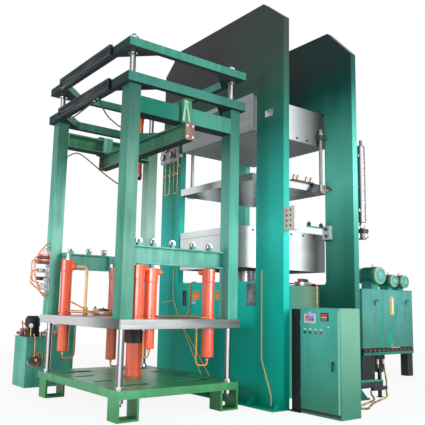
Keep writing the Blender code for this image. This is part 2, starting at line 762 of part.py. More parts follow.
# Head beams: channels between the posts, hollow toward the loader's middle
def make_head_beams():
    x = (POST_INNER_X + SEAT, LOADER_LENGTH - POST_INNER_X - SEAT)
    z = (HEAD_BEAM_Z, HEAD_BEAM_Z + HEAD_BEAM_HEIGHT)
    near = (POST_INSET_Y, POST_INNER_Y)
    for name, (y0, y1), inward in (
        ("head_beam_front", near, 1),
        ("head_beam_back", mirrored(*near, LOADER_WIDTH), -1),
    ):
        beam = box(name, x, (y0, y1), z)
        if inward > 0:
            pocket_y = (y0 + HEAD_BEAM_WALL, y1 + OVERRUN)
        else:
            pocket_y = (y0 - OVERRUN, y1 - HEAD_BEAM_WALL)
        pocket_x = (x[0] + HEAD_BEAM_WALL, x[1] - HEAD_BEAM_WALL)
        pocket_z = (z[0] + HEAD_BEAM_WALL, z[1] - HEAD_BEAM_WALL)
        cut(beam, box(f"{name}_pocket", pocket_x, pocket_y, pocket_z))
        material(beam, "loader_green")


# Hanger: an I-beam whose clamps hook over both head beams and slide along them
def make_hanger():
    half = HANGER_WIDTH / 2
    web = HANGER_WEB / 2
    top = HEAD_BEAM_Z - SLIDE_FIT
    out_y = POST_INSET_Y - HANGER_REACH
    y = (out_y + LAP, LOADER_WIDTH - out_y - LAP)
    hanger = box("hanger_beam", (HANGER_X - half, HANGER_X + half), y, (HANGER_Z, top))
    pocket_y = (y[0] - OVERRUN, y[1] + OVERRUN)
    pocket_z = (HANGER_Z + HANGER_FLANGE, top - HANGER_FLANGE)
    cut(hanger, box("hanger_pocket_left", (HANGER_X - half - OVERRUN, HANGER_X - web), pocket_y, pocket_z))
    cut(hanger, box("hanger_pocket_right", (HANGER_X + web, HANGER_X + half + OVERRUN), pocket_y, pocket_z))
    beam_top = HEAD_BEAM_Z + HEAD_BEAM_HEIGHT
    arm_y = POST_INSET_Y - SLIDE_FIT
    hook_y = out_y + CLAMP_HOOK
    clamp_x = (CLAMP_X - CLAMP_WIDTH / 2, CLAMP_X + CLAMP_WIDTH / 2)
    clamp = [
        (out_y, top - HANGER_FLANGE / 2),
        (arm_y, top - HANGER_FLANGE / 2),
        (arm_y, beam_top + SEAT),
        (hook_y, beam_top + SEAT),
        (hook_y, beam_top + CLAMP_TOP),
        (out_y, beam_top + CLAMP_TOP),
    ]
    far_clamp = [(LOADER_WIDTH - y, z) for y, z in clamp]
    join(hanger, slab("hanger_clamp_near", clamp, clamp_x, "YZ"))
    join(hanger, slab("hanger_clamp_far", far_clamp, clamp_x, "YZ"))
    material(hanger, "loader_green")


def beam_rollers(beam_x, length, shares, beam_y, beam_top):
    """The rollers' middles along one roller beam."""
    y = beam_y + ROLLER_BEAM_DEPTH / 2
    z = beam_top + ROLLER_CLEARANCE + ROLLER_RADIUS
    return [(beam_x + length * share, y, z) for share in shares]


def front_rollers():
    top = FRONT_BEAM_Z + FRONT_BEAM_HEIGHT
    return beam_rollers(POST_INNER_X, FRONT_BEAM_LENGTH, FRONT_ROLLER_SHARES, FRONT_BEAM_Y, top)


def back_rollers():
    top = BACK_BEAM_Z + BACK_BEAM_HEIGHT
    return beam_rollers(POST_INNER_X, BACK_BEAM_LENGTH, BACK_ROLLER_SHARES, BACK_BEAM_Y, top)


def add_cheeks(beam, places, beam_top):
    """Stands two cheeks at each roller and bores them for its pin."""
    gap = ROLLER_WIDTH / 2 + ROLLER_SHOULDER_WIDTH + CHEEK_FIT
    for n, (x, y, z) in enumerate(places, 1):
        cheek_x = (x - CHEEK_WIDTH / 2, x + CHEEK_WIDTH / 2)
        cheek_z = (beam_top - ROLLER_BEAM_FLANGE / 2, z + CHEEK_OVER_PIN)
        for side, out in (("near", -1), ("far", 1)):
            inner = y + out * gap
            outer = y + out * (gap + CHEEK_THICKNESS)
            cheek_y = (min(inner, outer), max(inner, outer))
            join(beam, box(f"{beam.name}_cheek_{n}_{side}", cheek_x, cheek_y, cheek_z))
        reach = gap + CHEEK_THICKNESS + OVERRUN
        bore = (x, y + reach, z)
        radius = ROLLER_PIN_RADIUS + SLIDE_FIT
        cut(beam, rod(f"{beam.name}_pin_{n}", radius, 2 * reach, bore, "Y", SMALL_SIDES))


def add_rod(beam, n, top):
    """Joins the rod of a lift cylinder to the beam that it carries."""
    x, y, cylinder_top, low, barrel = lifts()[n - 1]
    foot = PLATFORM_TOP + LIFT_FLANGE_HEIGHT + LIFT_BORE_FLOOR + LIFT_ROD_STANDOFF
    join(beam, rod(f"lift_rod_{n}", LIFT_ROD_RADIUS, top - foot, (x, y, foot)))


# Roller beams: channels with cheeks for the rollers, each carried by its lift rods
def make_front_roller_beam():
    x = (POST_INNER_X + BEAM_END_FIT, LOADER_LENGTH - POST_INNER_X - BEAM_END_FIT)
    y = (FRONT_BEAM_Y, FRONT_BEAM_Y + ROLLER_BEAM_DEPTH)
    top = FRONT_BEAM_Z + FRONT_BEAM_HEIGHT
    beam = box("roller_beam_front", x, y, (FRONT_BEAM_Z, top))
    pocket_x = (x[0] - OVERRUN, x[1] + OVERRUN)
    pocket_y = (y[0] - OVERRUN, y[1] - ROLLER_BEAM_WEB)
    pocket_z = (FRONT_BEAM_Z + ROLLER_BEAM_FLANGE, top - ROLLER_BEAM_FLANGE)
    cut(beam, box("roller_beam_front_pocket", pocket_x, pocket_y, pocket_z))
    for n in (1, 2, 3):
        add_rod(beam, n, FRONT_BEAM_Z + ROLLER_BEAM_FLANGE / 2)
    add_cheeks(beam, front_rollers(), top)
    material(beam, "loader_green")


def make_back_roller_beam():
    x = (POST_INNER_X + BEAM_END_FIT, POST_INNER_X + BACK_BEAM_LENGTH)
    y = (BACK_BEAM_Y, BACK_BEAM_Y + ROLLER_BEAM_DEPTH)
    top = BACK_BEAM_Z + BACK_BEAM_HEIGHT
    beam = box("roller_beam_back", x, y, (BACK_BEAM_Z, top))
    pocket_x = (x[0] - OVERRUN, x[1] - ROLLER_BEAM_FLANGE)
    pocket_y = (y[0] - OVERRUN, y[1] - ROLLER_BEAM_WEB)
    pocket_z = (BACK_BEAM_Z + ROLLER_BEAM_FLANGE, top - ROLLER_BEAM_FLANGE)
    cut(beam, box("roller_beam_back_pocket", pocket_x, pocket_y, pocket_z))
    lug_x = (LIFT_4_X - LUG_WIDTH / 2, LIFT_4_X + LUG_WIDTH / 2)
    lug_y = (LIFT_4_Y - LUG_WIDTH / 2, y[0] + ROLLER_BEAM_FLANGE)
    join(beam, box("lift_lug", lug_x, lug_y, (top - LUG_HEIGHT, top - LAP)))
    add_rod(beam, 4, top - LUG_HEIGHT / 2)
    bracket_x = (x[1] - ROLLER_BEAM_FLANGE / 2, LIFT_5_X + LIFT_HEAD_RADIUS)
    bracket_z = (top - END_BRACKET_HEIGHT, top - LAP)
    bracket_y = (y[0] + LAP, y[1] - LAP)
    join(beam, box("beam_end_bracket", bracket_x, bracket_y, bracket_z))
    add_rod(beam, 5, top - END_BRACKET_HEIGHT / 2)
    add_cheeks(beam, back_rollers(), top)
    material(beam, "loader_green")


# Rollers: each turns on its own pin between two cheeks
def make_rollers():
    width = ROLLER_WIDTH / 2
    shoulder = width + ROLLER_SHOULDER_WIDTH
    pin = shoulder + CHEEK_FIT + CHEEK_THICKNESS
    profile = [
        (0, pin),
        (ROLLER_PIN_RADIUS, pin),
        (ROLLER_PIN_RADIUS, shoulder),
        (ROLLER_SHOULDER, shoulder),
        (ROLLER_SHOULDER, width),
        (ROLLER_RADIUS, width),
        (ROLLER_RADIUS, -width),
        (ROLLER_SHOULDER, -width),
        (ROLLER_SHOULDER, -shoulder),
        (ROLLER_PIN_RADIUS, -shoulder),
        (ROLLER_PIN_RADIUS, -pin),
        (0, -pin),
    ]
    for group, places in (("front", front_rollers()), ("back", back_rollers())):
        for n, place in enumerate(places, 1):
            roller = turned(f"{group}_roller_{n}", profile, place, "Y", SMALL_SIDES)
            material(roller, "platen_steel")


# Lift cylinders: each stands on the platform, with its low end through it and a bore for its rod
def make_lift_cylinders():
    flange = PLATFORM_TOP + SEAT
    floor = PLATFORM_TOP + LIFT_FLANGE_HEIGHT + LIFT_BORE_FLOOR
    bore = LIFT_ROD_RADIUS + SLIDE_FIT
    for n, (x, y, top, low, barrel) in enumerate(lifts(), 1):
        profile = [
            (0, top),
            (LIFT_HEAD_RADIUS, top),
            (LIFT_HEAD_RADIUS, top - LIFT_HEAD_HEIGHT),
            (LIFT_RADIUS, top - LIFT_HEAD_HEIGHT),
            (LIFT_RADIUS, flange + LIFT_FLANGE_HEIGHT),
            (LIFT_FLANGE_RADIUS, flange + LIFT_FLANGE_HEIGHT),
            (LIFT_FLANGE_RADIUS, flange),
            (barrel, flange),
            (barrel, low + LIFT_CAP_EDGE),
            (barrel - LIFT_CAP_EDGE, low),
            (0, low),
        ]
        cylinder = turned(f"lift_cylinder_{n}", profile, (x, y, 0))
        depth = top + OVERRUN - floor
        cut(cylinder, rod(f"lift_cylinder_{n}_bore", bore, depth, (x, y, floor)))
        material(cylinder, "lift_red")


# Central ram: its cylinder stands on the deck, and its collar carries the platform
def make_loader_ram():
    base = DECK_Z + SEAT
    place = (LOADER_RAM_X, LOADER_RAM_Y, 0)
    floor = base + LOADER_RAM_BASE_HEIGHT + LOADER_RAM_FLOOR
    profile = [
        (0, LOADER_RAM_TOP),
        (LOADER_RAM_RADIUS, LOADER_RAM_TOP),
        (LOADER_RAM_RADIUS, base + LOADER_RAM_BASE_HEIGHT),
        (LOADER_RAM_BASE_RADIUS, base + LOADER_RAM_BASE_HEIGHT),
        (LOADER_RAM_BASE_RADIUS, base),
        (0, base),
    ]
    cylinder = turned("ram_cylinder", profile, place)
    bore_place = (LOADER_RAM_X, LOADER_RAM_Y, floor)
    depth = LOADER_RAM_TOP + OVERRUN - floor
    cut(cylinder, rod("ram_cylinder_bore", LOADER_RAM_BORE, depth, bore_place))
    material(cylinder, "lift_red")
    collar = LOADER_RAM_TOP + SEAT
    under_platform = PLATFORM_Z - SEAT
    profile = [
        (0, under_platform),
        (PLUNGER_COLLAR_RADIUS, under_platform),
        (PLUNGER_COLLAR_RADIUS, collar),
        (PLUNGER_RADIUS, collar),
        (PLUNGER_RADIUS, floor + PLUNGER_STANDOFF),
        (0, floor + PLUNGER_STANDOFF),
    ]
    material(turned("ram_plunger", profile, place), "black_paint")


# Frame plates: each has a window, cut-off top corners and a sole with gussets
def make_frame_plate(name, x, chamfer, drop, outward):
    y0 = PLATE_Y
    y1 = PLATE_Y + PLATE_WIDTH
    shoulder = PLATE_HEIGHT - drop
    outline = [
        (y0, 0),
        (y1, 0),
        (y1, shoulder),
        (y1 - chamfer, PLATE_HEIGHT),
        (y0 + chamfer, PLATE_HEIGHT),
        (y0, shoulder),
    ]
    span = (x, x + PLATE_THICKNESS)
    plate = slab(name, outline, span, "YZ")
    window_y = (y0 + LEG_WIDTH, y1 - LEG_WIDTH)
    window = rounded_window(window_y, (WINDOW_Z, WINDOW_TOP))
    cut(plate, slab(f"{name}_window", window, (x - OVERRUN, x + PLATE_THICKNESS + OVERRUN), "YZ"))
    face = x if outward < 0 else x + PLATE_THICKNESS
    root = face - outward * LAP
    tip = face + outward * SOLE_REACH
    sole_x = (min(root, tip), max(root, tip))
    join(plate, box(f"{name}_sole", sole_x, (y0, y1), (0, SOLE_THICKNESS)))
    edge = GUSSET_INSET + GUSSET_THICKNESS
    for n, y in enumerate((y0 + edge, window_y[0] - edge, window_y[1] + edge, y1 - edge), 1):
        gusset = [
            (root, SOLE_THICKNESS - LAP),
            (face + outward * GUSSET_REACH, SOLE_THICKNESS - LAP),
            (face + outward * GUSSET_REACH, SOLE_THICKNESS + LAP),
            (face, SOLE_THICKNESS + GUSSET_HEIGHT),
            (root, SOLE_THICKNESS + GUSSET_HEIGHT),
        ]
        y_span = (y - GUSSET_THICKNESS / 2, y + GUSSET_THICKNESS / 2)
        join(plate, slab(f"{name}_gusset_{n}", gusset, y_span, "XZ"))
    material(plate, "press_green")


def rounded_window(y, z):
    """A window's outline, with each corner an arc."""
    r = WINDOW_CORNER
    middles = ((y[1] - r, z[1] - r), (y[0] + r, z[1] - r), (y[0] + r, z[0] + r), (y[1] - r, z[0] + r))
    points = []
    for quarter, (a, b) in enumerate(middles):
        for step in range(5):
            turn = (quarter + step / 4) * pi / 2
            points.append((a + r * cos(turn), b + r * sin(turn)))
    return points


def guide_rods():
    """The guide rods' middles and the side of the blocks on which each runs."""
    return (
        ("near", GUIDE_NEAR_X, BLOCK_Y - GUIDE_ROD_OUT, -1),
        ("far", GUIDE_FAR_X, BLOCK_END_Y + GUIDE_ROD_OUT, 1),
    )


# Upper block: it fills the windows' tops and has a bracket for each guide rod
def make_upper_block():
    z = (UPPER_BLOCK_Z, UPPER_BLOCK_TOP)
    block = box("upper_block", (BLOCK_X, BLOCK_END_X), (BLOCK_Y, BLOCK_END_Y), z)
    bevel(block, BOX_EDGE, 1)
    for side, x, y, out in guide_rods():
        face = BLOCK_Y if out < 0 else BLOCK_END_Y
        root = face - out * OVERRUN
        tip = face + out * EAR_REACH
        bracket_x = (x - EAR_WIDTH / 2, x + EAR_WIDTH / 2)
        bracket_y = (min(root, tip), max(root, tip))
        bracket_z = (BRACKET_Z, BRACKET_Z + BRACKET_HEIGHT)
        join(block, box(f"guide_bracket_{side}", bracket_x, bracket_y, bracket_z))
        place = (x, y, BRACKET_Z - OVERRUN)
        depth = BRACKET_HEIGHT + 2 * OVERRUN
        cut(block, rod(f"guide_bore_{side}", GUIDE_ROD_RADIUS + SLIDE_FIT, depth, place))
    material(block, "platen_steel")


# Middle platen: it hangs by its two rods, whose nuts rest on the brackets
def make_middle_platen():
    z = (PLATEN_Z, PLATEN_Z + PLATEN_THICKNESS)
    platen = box("middle_platen", (BLOCK_X, BLOCK_END_X), (BLOCK_Y, BLOCK_END_Y), z)
    for side, x, y, out in guide_rods():
        face = BLOCK_Y if out < 0 else BLOCK_END_Y
        root = face - out * OVERRUN
        tip = face + out * EAR_REACH
        ear_y = (min(root, tip), max(root, tip))
        ear_z = (PLATEN_Z + LAP, PLATEN_Z + PLATEN_THICKNESS - LAP)
        join(platen, box(f"platen_ear_{side}", (x - EAR_WIDTH / 2, x + EAR_WIDTH / 2), ear_y, ear_z))
        foot = PLATEN_Z + PLATEN_THICKNESS / 2
        nut = BRACKET_Z + BRACKET_HEIGHT + SEAT
        profile = [
            (0, foot + GUIDE_ROD_LENGTH + GUIDE_NUT_HEIGHT),
            (GUIDE_ROD_RADIUS, foot + GUIDE_ROD_LENGTH + GUIDE_NUT_HEIGHT),
            (GUIDE_ROD_RADIUS, nut + GUIDE_NUT_HEIGHT),
            (GUIDE_NUT_RADIUS, nut + GUIDE_NUT_HEIGHT),
            (GUIDE_NUT_RADIUS, nut),
            (GUIDE_ROD_RADIUS, nut),
            (GUIDE_ROD_RADIUS, foot),
            (0, foot),
        ]
        join(platen, turned(f"guide_rod_{side}", profile, (x, y, 0)))
    material(platen, "platen_steel")


# Lower table: the moving table with a groove under its heating plate
def make_lower_table():
    x = (PLATE_1_X - TABLE_OVERHANG, PLATE_END_X + TABLE_OVERHANG)
    y = (TABLE_Y, TABLE_Y + TABLE_WIDTH)
    top = TABLE_Z + TABLE_HEIGHT
    table = box("lower_table", x, y, (TABLE_Z, top))
    groove_z = (top - TABLE_GROOVE_DROP - TABLE_GROOVE, top - TABLE_GROOVE_DROP)
    outer_x = (x[0] - OVERRUN, x[1] + OVERRUN)
    outer_y = (y[0] - OVERRUN, y[1] + OVERRUN)
    inner_x = (x[0] + TABLE_GROOVE, x[1] - TABLE_GROOVE)
    inner_y = (y[0] + TABLE_GROOVE, y[1] - TABLE_GROOVE)
    groove = box("table_groove", outer_x, outer_y, groove_z)
    core_z = (groove_z[0] - OVERRUN, groove_z[1] + OVERRUN)
    cut(groove, box("table_groove_core", inner_x, inner_y, core_z))
    cut(table, groove)
    material(table, "platen_steel")


# Bed and main ram: the bed stands between the plates and is bored for the ram
def make_bed():
    x = (PLATE_1_X + PLATE_THICKNESS + SEAT, PLATE_2_X - SEAT)
    bed = box("press_bed", x, (BED_Y, BED_Y + BED_WIDTH), (0, BED_HEIGHT))
    bevel(bed, BOX_EDGE, 1)
    place = (PRESS_MIDDLE_X, PRESS_MIDDLE_Y, BED_FLOOR)
    depth = BED_HEIGHT + OVERRUN - BED_FLOOR
    cut(bed, rod("press_bed_bore", RAM_RADIUS + SLIDE_FIT, depth, place, sides=FINE_SIDES))
    material(bed, "press_green")
    foot = BED_FLOOR + RAM_STANDOFF
    length = TABLE_Z - SEAT - foot
    ram = rod("main_ram", RAM_RADIUS, length, (PRESS_MIDDLE_X, PRESS_MIDDLE_Y, foot), sides=FINE_SIDES)
    material(ram, "black_paint")


# Boxes on plate 1: the gauge box on its face and the button box on its edge
def make_plate_boxes():
    x = (PLATE_1_X - SEAT - GAUGE_BOX_DEPTH, PLATE_1_X - SEAT)
    y = (GAUGE_BOX_Y, GAUGE_BOX_Y + GAUGE_BOX_WIDTH)
    gauge_box = box("gauge_box", x, y, (GAUGE_BOX_Z, GAUGE_BOX_Z + GAUGE_BOX_HEIGHT))
    bevel(gauge_box, BOX_EDGE)
    material(gauge_box, "box_grey")
    y = (PLATE_Y - SEAT - BUTTON_BOX_REACH, PLATE_Y - SEAT)
    z = (BUTTON_BOX_Z, BUTTON_BOX_Z + BUTTON_BOX_HEIGHT)
    button_box = box("button_box", (PLATE_1_X, PLATE_1_X + BUTTON_BOX_LENGTH), y, z)
    bevel(button_box, BOX_EDGE)
    material(button_box, "box_grey")


# Accumulator: a domed bottle held behind plate 2 by two clips
def make_accumulator():
    top = ACCUMULATOR_Z + ACCUMULATOR_FOOT_LENGTH + ACCUMULATOR_LENGTH
    wall_top = top - ACCUMULATOR_NECK_LENGTH - ACCUMULATOR_DOME
    wall_low = ACCUMULATOR_Z + ACCUMULATOR_FOOT_LENGTH
    dome = []
    for step in range(6):
        turn = step / 5 * pi / 2
        radius = ACCUMULATOR_NECK + (ACCUMULATOR_RADIUS - ACCUMULATOR_NECK) * sin(turn)
        dome.append((radius, wall_top + ACCUMULATOR_DOME * cos(turn)))
    profile = [
        (0, top),
        (ACCUMULATOR_NECK, top),
        *dome,
        (ACCUMULATOR_RADIUS, wall_low),
        (ACCUMULATOR_FOOT_RADIUS, wall_low),
        (ACCUMULATOR_FOOT_RADIUS, ACCUMULATOR_Z),
        (0, ACCUMULATOR_Z),
    ]
    bottle = turned("accumulator", profile, (ACCUMULATOR_X, ACCUMULATOR_Y, 0))
    x = (PLATE_END_X + SEAT, ACCUMULATOR_X)
    y = (ACCUMULATOR_Y - CLIP_THICKNESS / 2, ACCUMULATOR_Y + CLIP_THICKNESS / 2)
    for name, z in (("low", LOW_CLIP_Z), ("high", HIGH_CLIP_Z)):
        join(bottle, box(f"accumulator_clip_{name}", x, y, (z, z + CLIP_HEIGHT)))
    material(bottle, "chrome")


def button_places():
    return [(BUTTON_1_Y - n * BUTTON_STEP, BUTTON_Z) for n in range(4)]


def cabinet_gland_places():
    return [route[-1][1:] for route in (HOSE_1_ROUTE, HOSE_2_ROUTE)]


# Control cabinet: a shell open toward the loader, with a plinth and two glands at its back
def make_cabinet():
    shell_x = CABINET_X + DOOR_THICKNESS + SEAT
    shell = box(
        "control_cabinet", (shell_x, CABINET_END_X), (CABINET_Y, CABINET_END_Y), (0, CABINET_HEIGHT)
    )
    room_x = (shell_x - OVERRUN, CABINET_END_X - CABINET_WALL)
    room_y = (CABINET_Y + CABINET_WALL, CABINET_END_Y - CABINET_WALL)
    room_z = (PLINTH_HEIGHT + CABINET_WALL, CABINET_HEIGHT - CABINET_WALL)
    cut(shell, box("cabinet_room", room_x, room_y, room_z))
    for n, (y, z) in enumerate(cabinet_gland_places(), 1):
        start = CABINET_END_X - CABINET_WALL / 2
        length = GLAND_LENGTH + CABINET_WALL / 2
        join(shell, rod(f"cabinet_gland_{n}", GLAND_RADIUS, length, (start, y, z), "X", SMALL_SIDES))
    material(shell, "press_green")


# Cabinet door: a leaf with hinge barrels at its outer corner, bored for buttons and handle
def make_door():
    hinge_x = CABINET_X
    hinge_y = CABINET_END_Y - DOOR_INSET
    x = (CABINET_X, CABINET_X + DOOR_THICKNESS)
    y = (CABINET_Y + DOOR_INSET, hinge_y)
    z = (PLINTH_HEIGHT, CABINET_HEIGHT - DOOR_TOP_INSET)
    door = box("cabinet_door", x, y, z)
    for n, z_low in enumerate((z[0] + HINGE_INSET, z[1] - HINGE_INSET - HINGE_LENGTH), 1):
        place = (hinge_x, hinge_y, z_low)
        join(door, rod(f"door_hinge_{n}", HINGE_RADIUS, HINGE_LENGTH, place, sides=SMALL_SIDES))
    depth = DOOR_THICKNESS + 2 * OVERRUN
    for n, (button_y, button_z) in enumerate(button_places(), 1):
        place = (CABINET_X - OVERRUN, button_y, button_z)
        radius = BUTTON_STEM_RADIUS + BUTTON_STEM_FIT
        cut(door, rod(f"button_hole_{n}", radius, depth, place, "X", SMALL_SIDES))
    place = (CABINET_X - OVERRUN, HANDLE_Y, HANDLE_Z)
    radius = HANDLE_SPINDLE_RADIUS + HANDLE_SPINDLE_FIT
    cut(door, rod("spindle_hole", radius, depth, place, "X", SMALL_SIDES))
    set_origin(door, (hinge_x, hinge_y, z[0]))
    material(door, "press_green")


def set_origin(part, place):
    """Moves a plain piece's origin onto its joint's axis and leaves its shape where it is."""
    shift = Vector(place) - part.location
    part.data.transform(Matrix.Translation(-shift))
    part.location = place


# Handle: a lever on a spindle through the door
def make_handle():
    inner = DOOR_THICKNESS + HANDLE_SPINDLE_PAST
    profile = [
        (0, inner),
        (HANDLE_SPINDLE_RADIUS, inner),
        (HANDLE_SPINDLE_RADIUS, -SEAT),
        (HANDLE_BOSS_RADIUS, -SEAT),
        (HANDLE_BOSS_RADIUS, -HANDLE_BOSS_LENGTH),
        (0, -HANDLE_BOSS_LENGTH),
    ]
    handle = turned("door_handle", profile, (CABINET_X, HANDLE_Y, HANDLE_Z), "X", SMALL_SIDES)
    out = CABINET_X - HANDLE_BOSS_LENGTH
    x = (out - HANDLE_THICKNESS / 2, out + HANDLE_THICKNESS / 2)
    y = (HANDLE_Y - HANDLE_WIDTH / 2, HANDLE_Y + HANDLE_WIDTH / 2)
    z = (HANDLE_Z - HANDLE_LENGTH, HANDLE_Z + HANDLE_WIDTH / 2)
    join(handle, box("door_handle_lever", x, y, z))
    material(handle, "black_paint")


# Push buttons: a cap in front of the door on a stem through it
def make_buttons():
    cap = BUTTON_TRAVEL + BUTTON_BEZEL_FIT
    inner = DOOR_THICKNESS + BUTTON_STEM_PAST
    profile = [
        (0, inner),
        (BUTTON_STEM_RADIUS, inner),
        (BUTTON_STEM_RADIUS, -cap),
        (BUTTON_CAP_RADIUS, -cap),
        (BUTTON_CAP_RADIUS, -cap - BUTTON_CAP_HEIGHT),
        (0, -cap - BUTTON_CAP_HEIGHT),
    ]
    for n, (y, z) in enumerate(button_places(), 1):
        button = turned(f"push_button_{n}", profile, (CABINET_X, y, z), "X", SMALL_SIDES)
        material(button, "button_green" if n < 3 else "button_red")


# Duct: the dark cable riser between the cabinet and the press, on a sole that meets plate 1
def make_duct():
    x = (DUCT_X, DUCT_X + DUCT_LENGTH)
    y = (CABINET_END_Y + SEAT, PLATE_Y - SEAT)
    duct = box("cable_duct", x, y, (0, DUCT_HEIGHT))
    sole_x = (PLATE_1_X + PLATE_THICKNESS - DUCT_SOLE_LAP, x[1] + DUCT_SOLE_REACH)
    join(duct, box("cable_duct_sole", sole_x, y, (0, DUCT_SOLE_THICKNESS)))
    material(duct, "black_paint")


# Stand: a rail frame on four legs, with skids under the tank and glands for the hoses
def make_stand():
    x = (TANK_X, TANK_END_X)
    y = (TANK_Y, TANK_END_Y)
    rail_top = STAND_RAIL_Z + STAND_RAIL_HEIGHT
    stand = box("pump_stand", x, y, (STAND_RAIL_Z, rail_top))
    open_x = (x[0] + STAND_RAIL_WIDTH, x[1] - STAND_RAIL_WIDTH)
    open_y = (y[0] + STAND_RAIL_WIDTH, y[1] - STAND_RAIL_WIDTH)
    cut(stand, box("stand_opening", open_x, open_y, (STAND_RAIL_Z - OVERRUN, rail_top + OVERRUN)))
    leg_xs = ((x[0], x[0] + STAND_LEFT_LEG), (x[1] - STAND_RIGHT_LEG, x[1]))
    inset = STAND_BLOCK_INSET
    leg_ys = ((y[0] + inset, y[0] + inset + STAND_LEG_WIDTH), (y[1] - inset - STAND_LEG_WIDTH, y[1] - inset))
    for side, leg_x in enumerate(leg_xs):
        for row, leg_y in enumerate(leg_ys):
            leg = (leg_x[0] + LAP, leg_x[1] - LAP)
            join(stand, box(f"stand_leg_{side}{row}", leg, leg_y, (0, STAND_RAIL_Z + LAP)))
            skid = box(f"stand_skid_{side}{row}", leg, leg_y, (rail_top - LAP, TANK_Z - SEAT))
            join(stand, skid)
    for n, route in enumerate((HOSE_1_ROUTE, HOSE_2_ROUTE), 1):
        place = route[0]
        length = STAND_RAIL_Z + LAP - place[2]
        join(stand, rod(f"stand_gland_{n}", GLAND_RADIUS, length, place, sides=SMALL_SIDES))
    material(stand, "dark_green")


# Tank and cover: an open box with a lid that carries the motors
def make_tank():
    tank = box("oil_tank", (TANK_X, TANK_END_X), (TANK_Y, TANK_END_Y), (TANK_Z, TANK_TOP))
    room_x = (TANK_X + TANK_WALL, TANK_END_X - TANK_WALL)
    room_y = (TANK_Y + TANK_WALL, TANK_END_Y - TANK_WALL)
    cut(tank, box("oil_tank_room", room_x, room_y, (TANK_Z + TANK_WALL, TANK_TOP + OVERRUN)))
    material(tank, "press_green")
    low = TANK_TOP + SEAT
    x = (TANK_X - COVER_MARGIN, TANK_END_X + COVER_MARGIN)
    y = (TANK_Y - COVER_MARGIN, TANK_END_Y + COVER_MARGIN)
    material(box("tank_cover", x, y, (low, low + COVER_THICKNESS)), "press_green")


# Motors: finned bodies along Y, each on its own foot
def make_motors():
    motors = (
        (MOTOR_1_ALONG, MOTOR_1_RISE, MOTOR_1_RADIUS, MOTOR_1_LENGTH),
        (MOTOR_2_ALONG, MOTOR_2_RISE, MOTOR_2_RADIUS, MOTOR_2_LENGTH),
        (MOTOR_3_ALONG, MOTOR_3_RISE, MOTOR_3_RADIUS, MOTOR_3_LENGTH),
    )
    for n, (along, rise, radius, length) in enumerate(motors, 1):
        x = TANK_X + along
        z = COVER_TOP + rise
        cowl = length * MOTOR_COWL_SHARE
        end = length * MOTOR_END_SHARE
        profile = [
            (0, length),
            (radius * MOTOR_END_RADIUS_SHARE, length),
            (radius, length - end),
            (radius, length - cowl),
            (radius * MOTOR_RIM_SHARE, length - cowl),
            (radius * MOTOR_RIM_SHARE, end),
            (radius * MOTOR_END_RADIUS_SHARE, end),
            (radius * MOTOR_END_RADIUS_SHARE, 0),
            (0, 0),
        ]
        far = TANK_Y + MOTOR_INSET + length
        motor = turned(f"pump_motor_{n}", profile, (x, far, z), "Y")
        half = radius * MOTOR_FOOT_WIDTH_SHARE
        foot_x = (x - half, x + half)
        foot = length * MOTOR_FOOT_LENGTH_SHARE / 2
        middle = far - length / 2
        base = box(f"motor_foot_{n}", foot_x, (middle - foot, middle + foot), (COVER_TOP + SEAT, z))
        join(motor, base)
        material(motor, "motor_blue")


# Feed unit: its tank with a raised tower, and an upright motor
def make_feed_unit():
    x = (FEED_X, FEED_X + FEED_LENGTH)
    y = (FEED_Y, FEED_Y + FEED_WIDTH)
    lid = FEED_HEIGHT - FEED_TOP_THICKNESS
    tank = box("feed_unit_tank", x, y, (0, lid + LAP))
    top_x = (x[0] - FEED_TOP_MARGIN, x[1] + FEED_TOP_MARGIN)
    top_y = (y[0] - FEED_TOP_MARGIN, y[1] + FEED_TOP_MARGIN)
    join(tank, box("feed_unit_lid", top_x, top_y, (lid, FEED_HEIGHT)))
    tower_x = (x[1] - FEED_TOWER_LENGTH, x[1])
    tower_z = (FEED_HEIGHT - LAP, FEED_HEIGHT + FEED_TOWER_HEIGHT)
    join(tank, box("feed_unit_tower", tower_x, y, tower_z))
    material(tank, "dark_green")
    low = FEED_HEIGHT + SEAT
    top = low + FEED_MOTOR_HEIGHT
    shoulder = FEED_MOTOR_RADIUS * MOTOR_RIM_SHARE
    profile = [
        (0, top),
        (FEED_MOTOR_RADIUS * MOTOR_END_RADIUS_SHARE, top),
        (FEED_MOTOR_RADIUS, top - FEED_MOTOR_DOME),
        (FEED_MOTOR_RADIUS, low + FEED_MOTOR_HEIGHT / 2),
        (shoulder, low + FEED_MOTOR_HEIGHT / 2),
        (shoulder, low + FEED_MOTOR_FLANGE),
        (FEED_MOTOR_RADIUS, low + FEED_MOTOR_FLANGE),
        (FEED_MOTOR_RADIUS, low),
        (0, low),
    ]
    motor = turned("feed_unit_motor", profile, (FEED_MOTOR_X, FEED_MOTOR_Y, 0))
    material(motor, "black_paint")


def smooth_route(route, count):
    """Evenly spaced points on a smooth curve through the route's own points."""
    points = [Vector(p) for p in route]
    ends = [2 * points[0] - points[1], *points, 2 * points[-1] - points[-2]]
    fine = []
    for a, b, c, d in zip(ends, ends[1:], ends[2:], ends[3:]):
        for step in range(24):
            t = step / 24
            fine.append(
                0.5
                * (
                    2 * b
                    + (c - a) * t
                    + (2 * a - 5 * b + 4 * c - d) * t * t
                    + (3 * b - a - 3 * c + d) * t * t * t
                )
            )
    fine.append(points[-1])
    travel = [0.0]
    for p, q in zip(fine, fine[1:]):
        travel.append(travel[-1] + (q - p).length)
    even = []
    at = 0
    for n in range(count):
        want = travel[-1] * n / (count - 1)
        while at < len(travel) - 2 and travel[at + 1] < want:
            at += 1
        share = (want - travel[at]) / (travel[at + 1] - travel[at])
        even.append(fine[at].lerp(fine[at + 1], share))
    return even


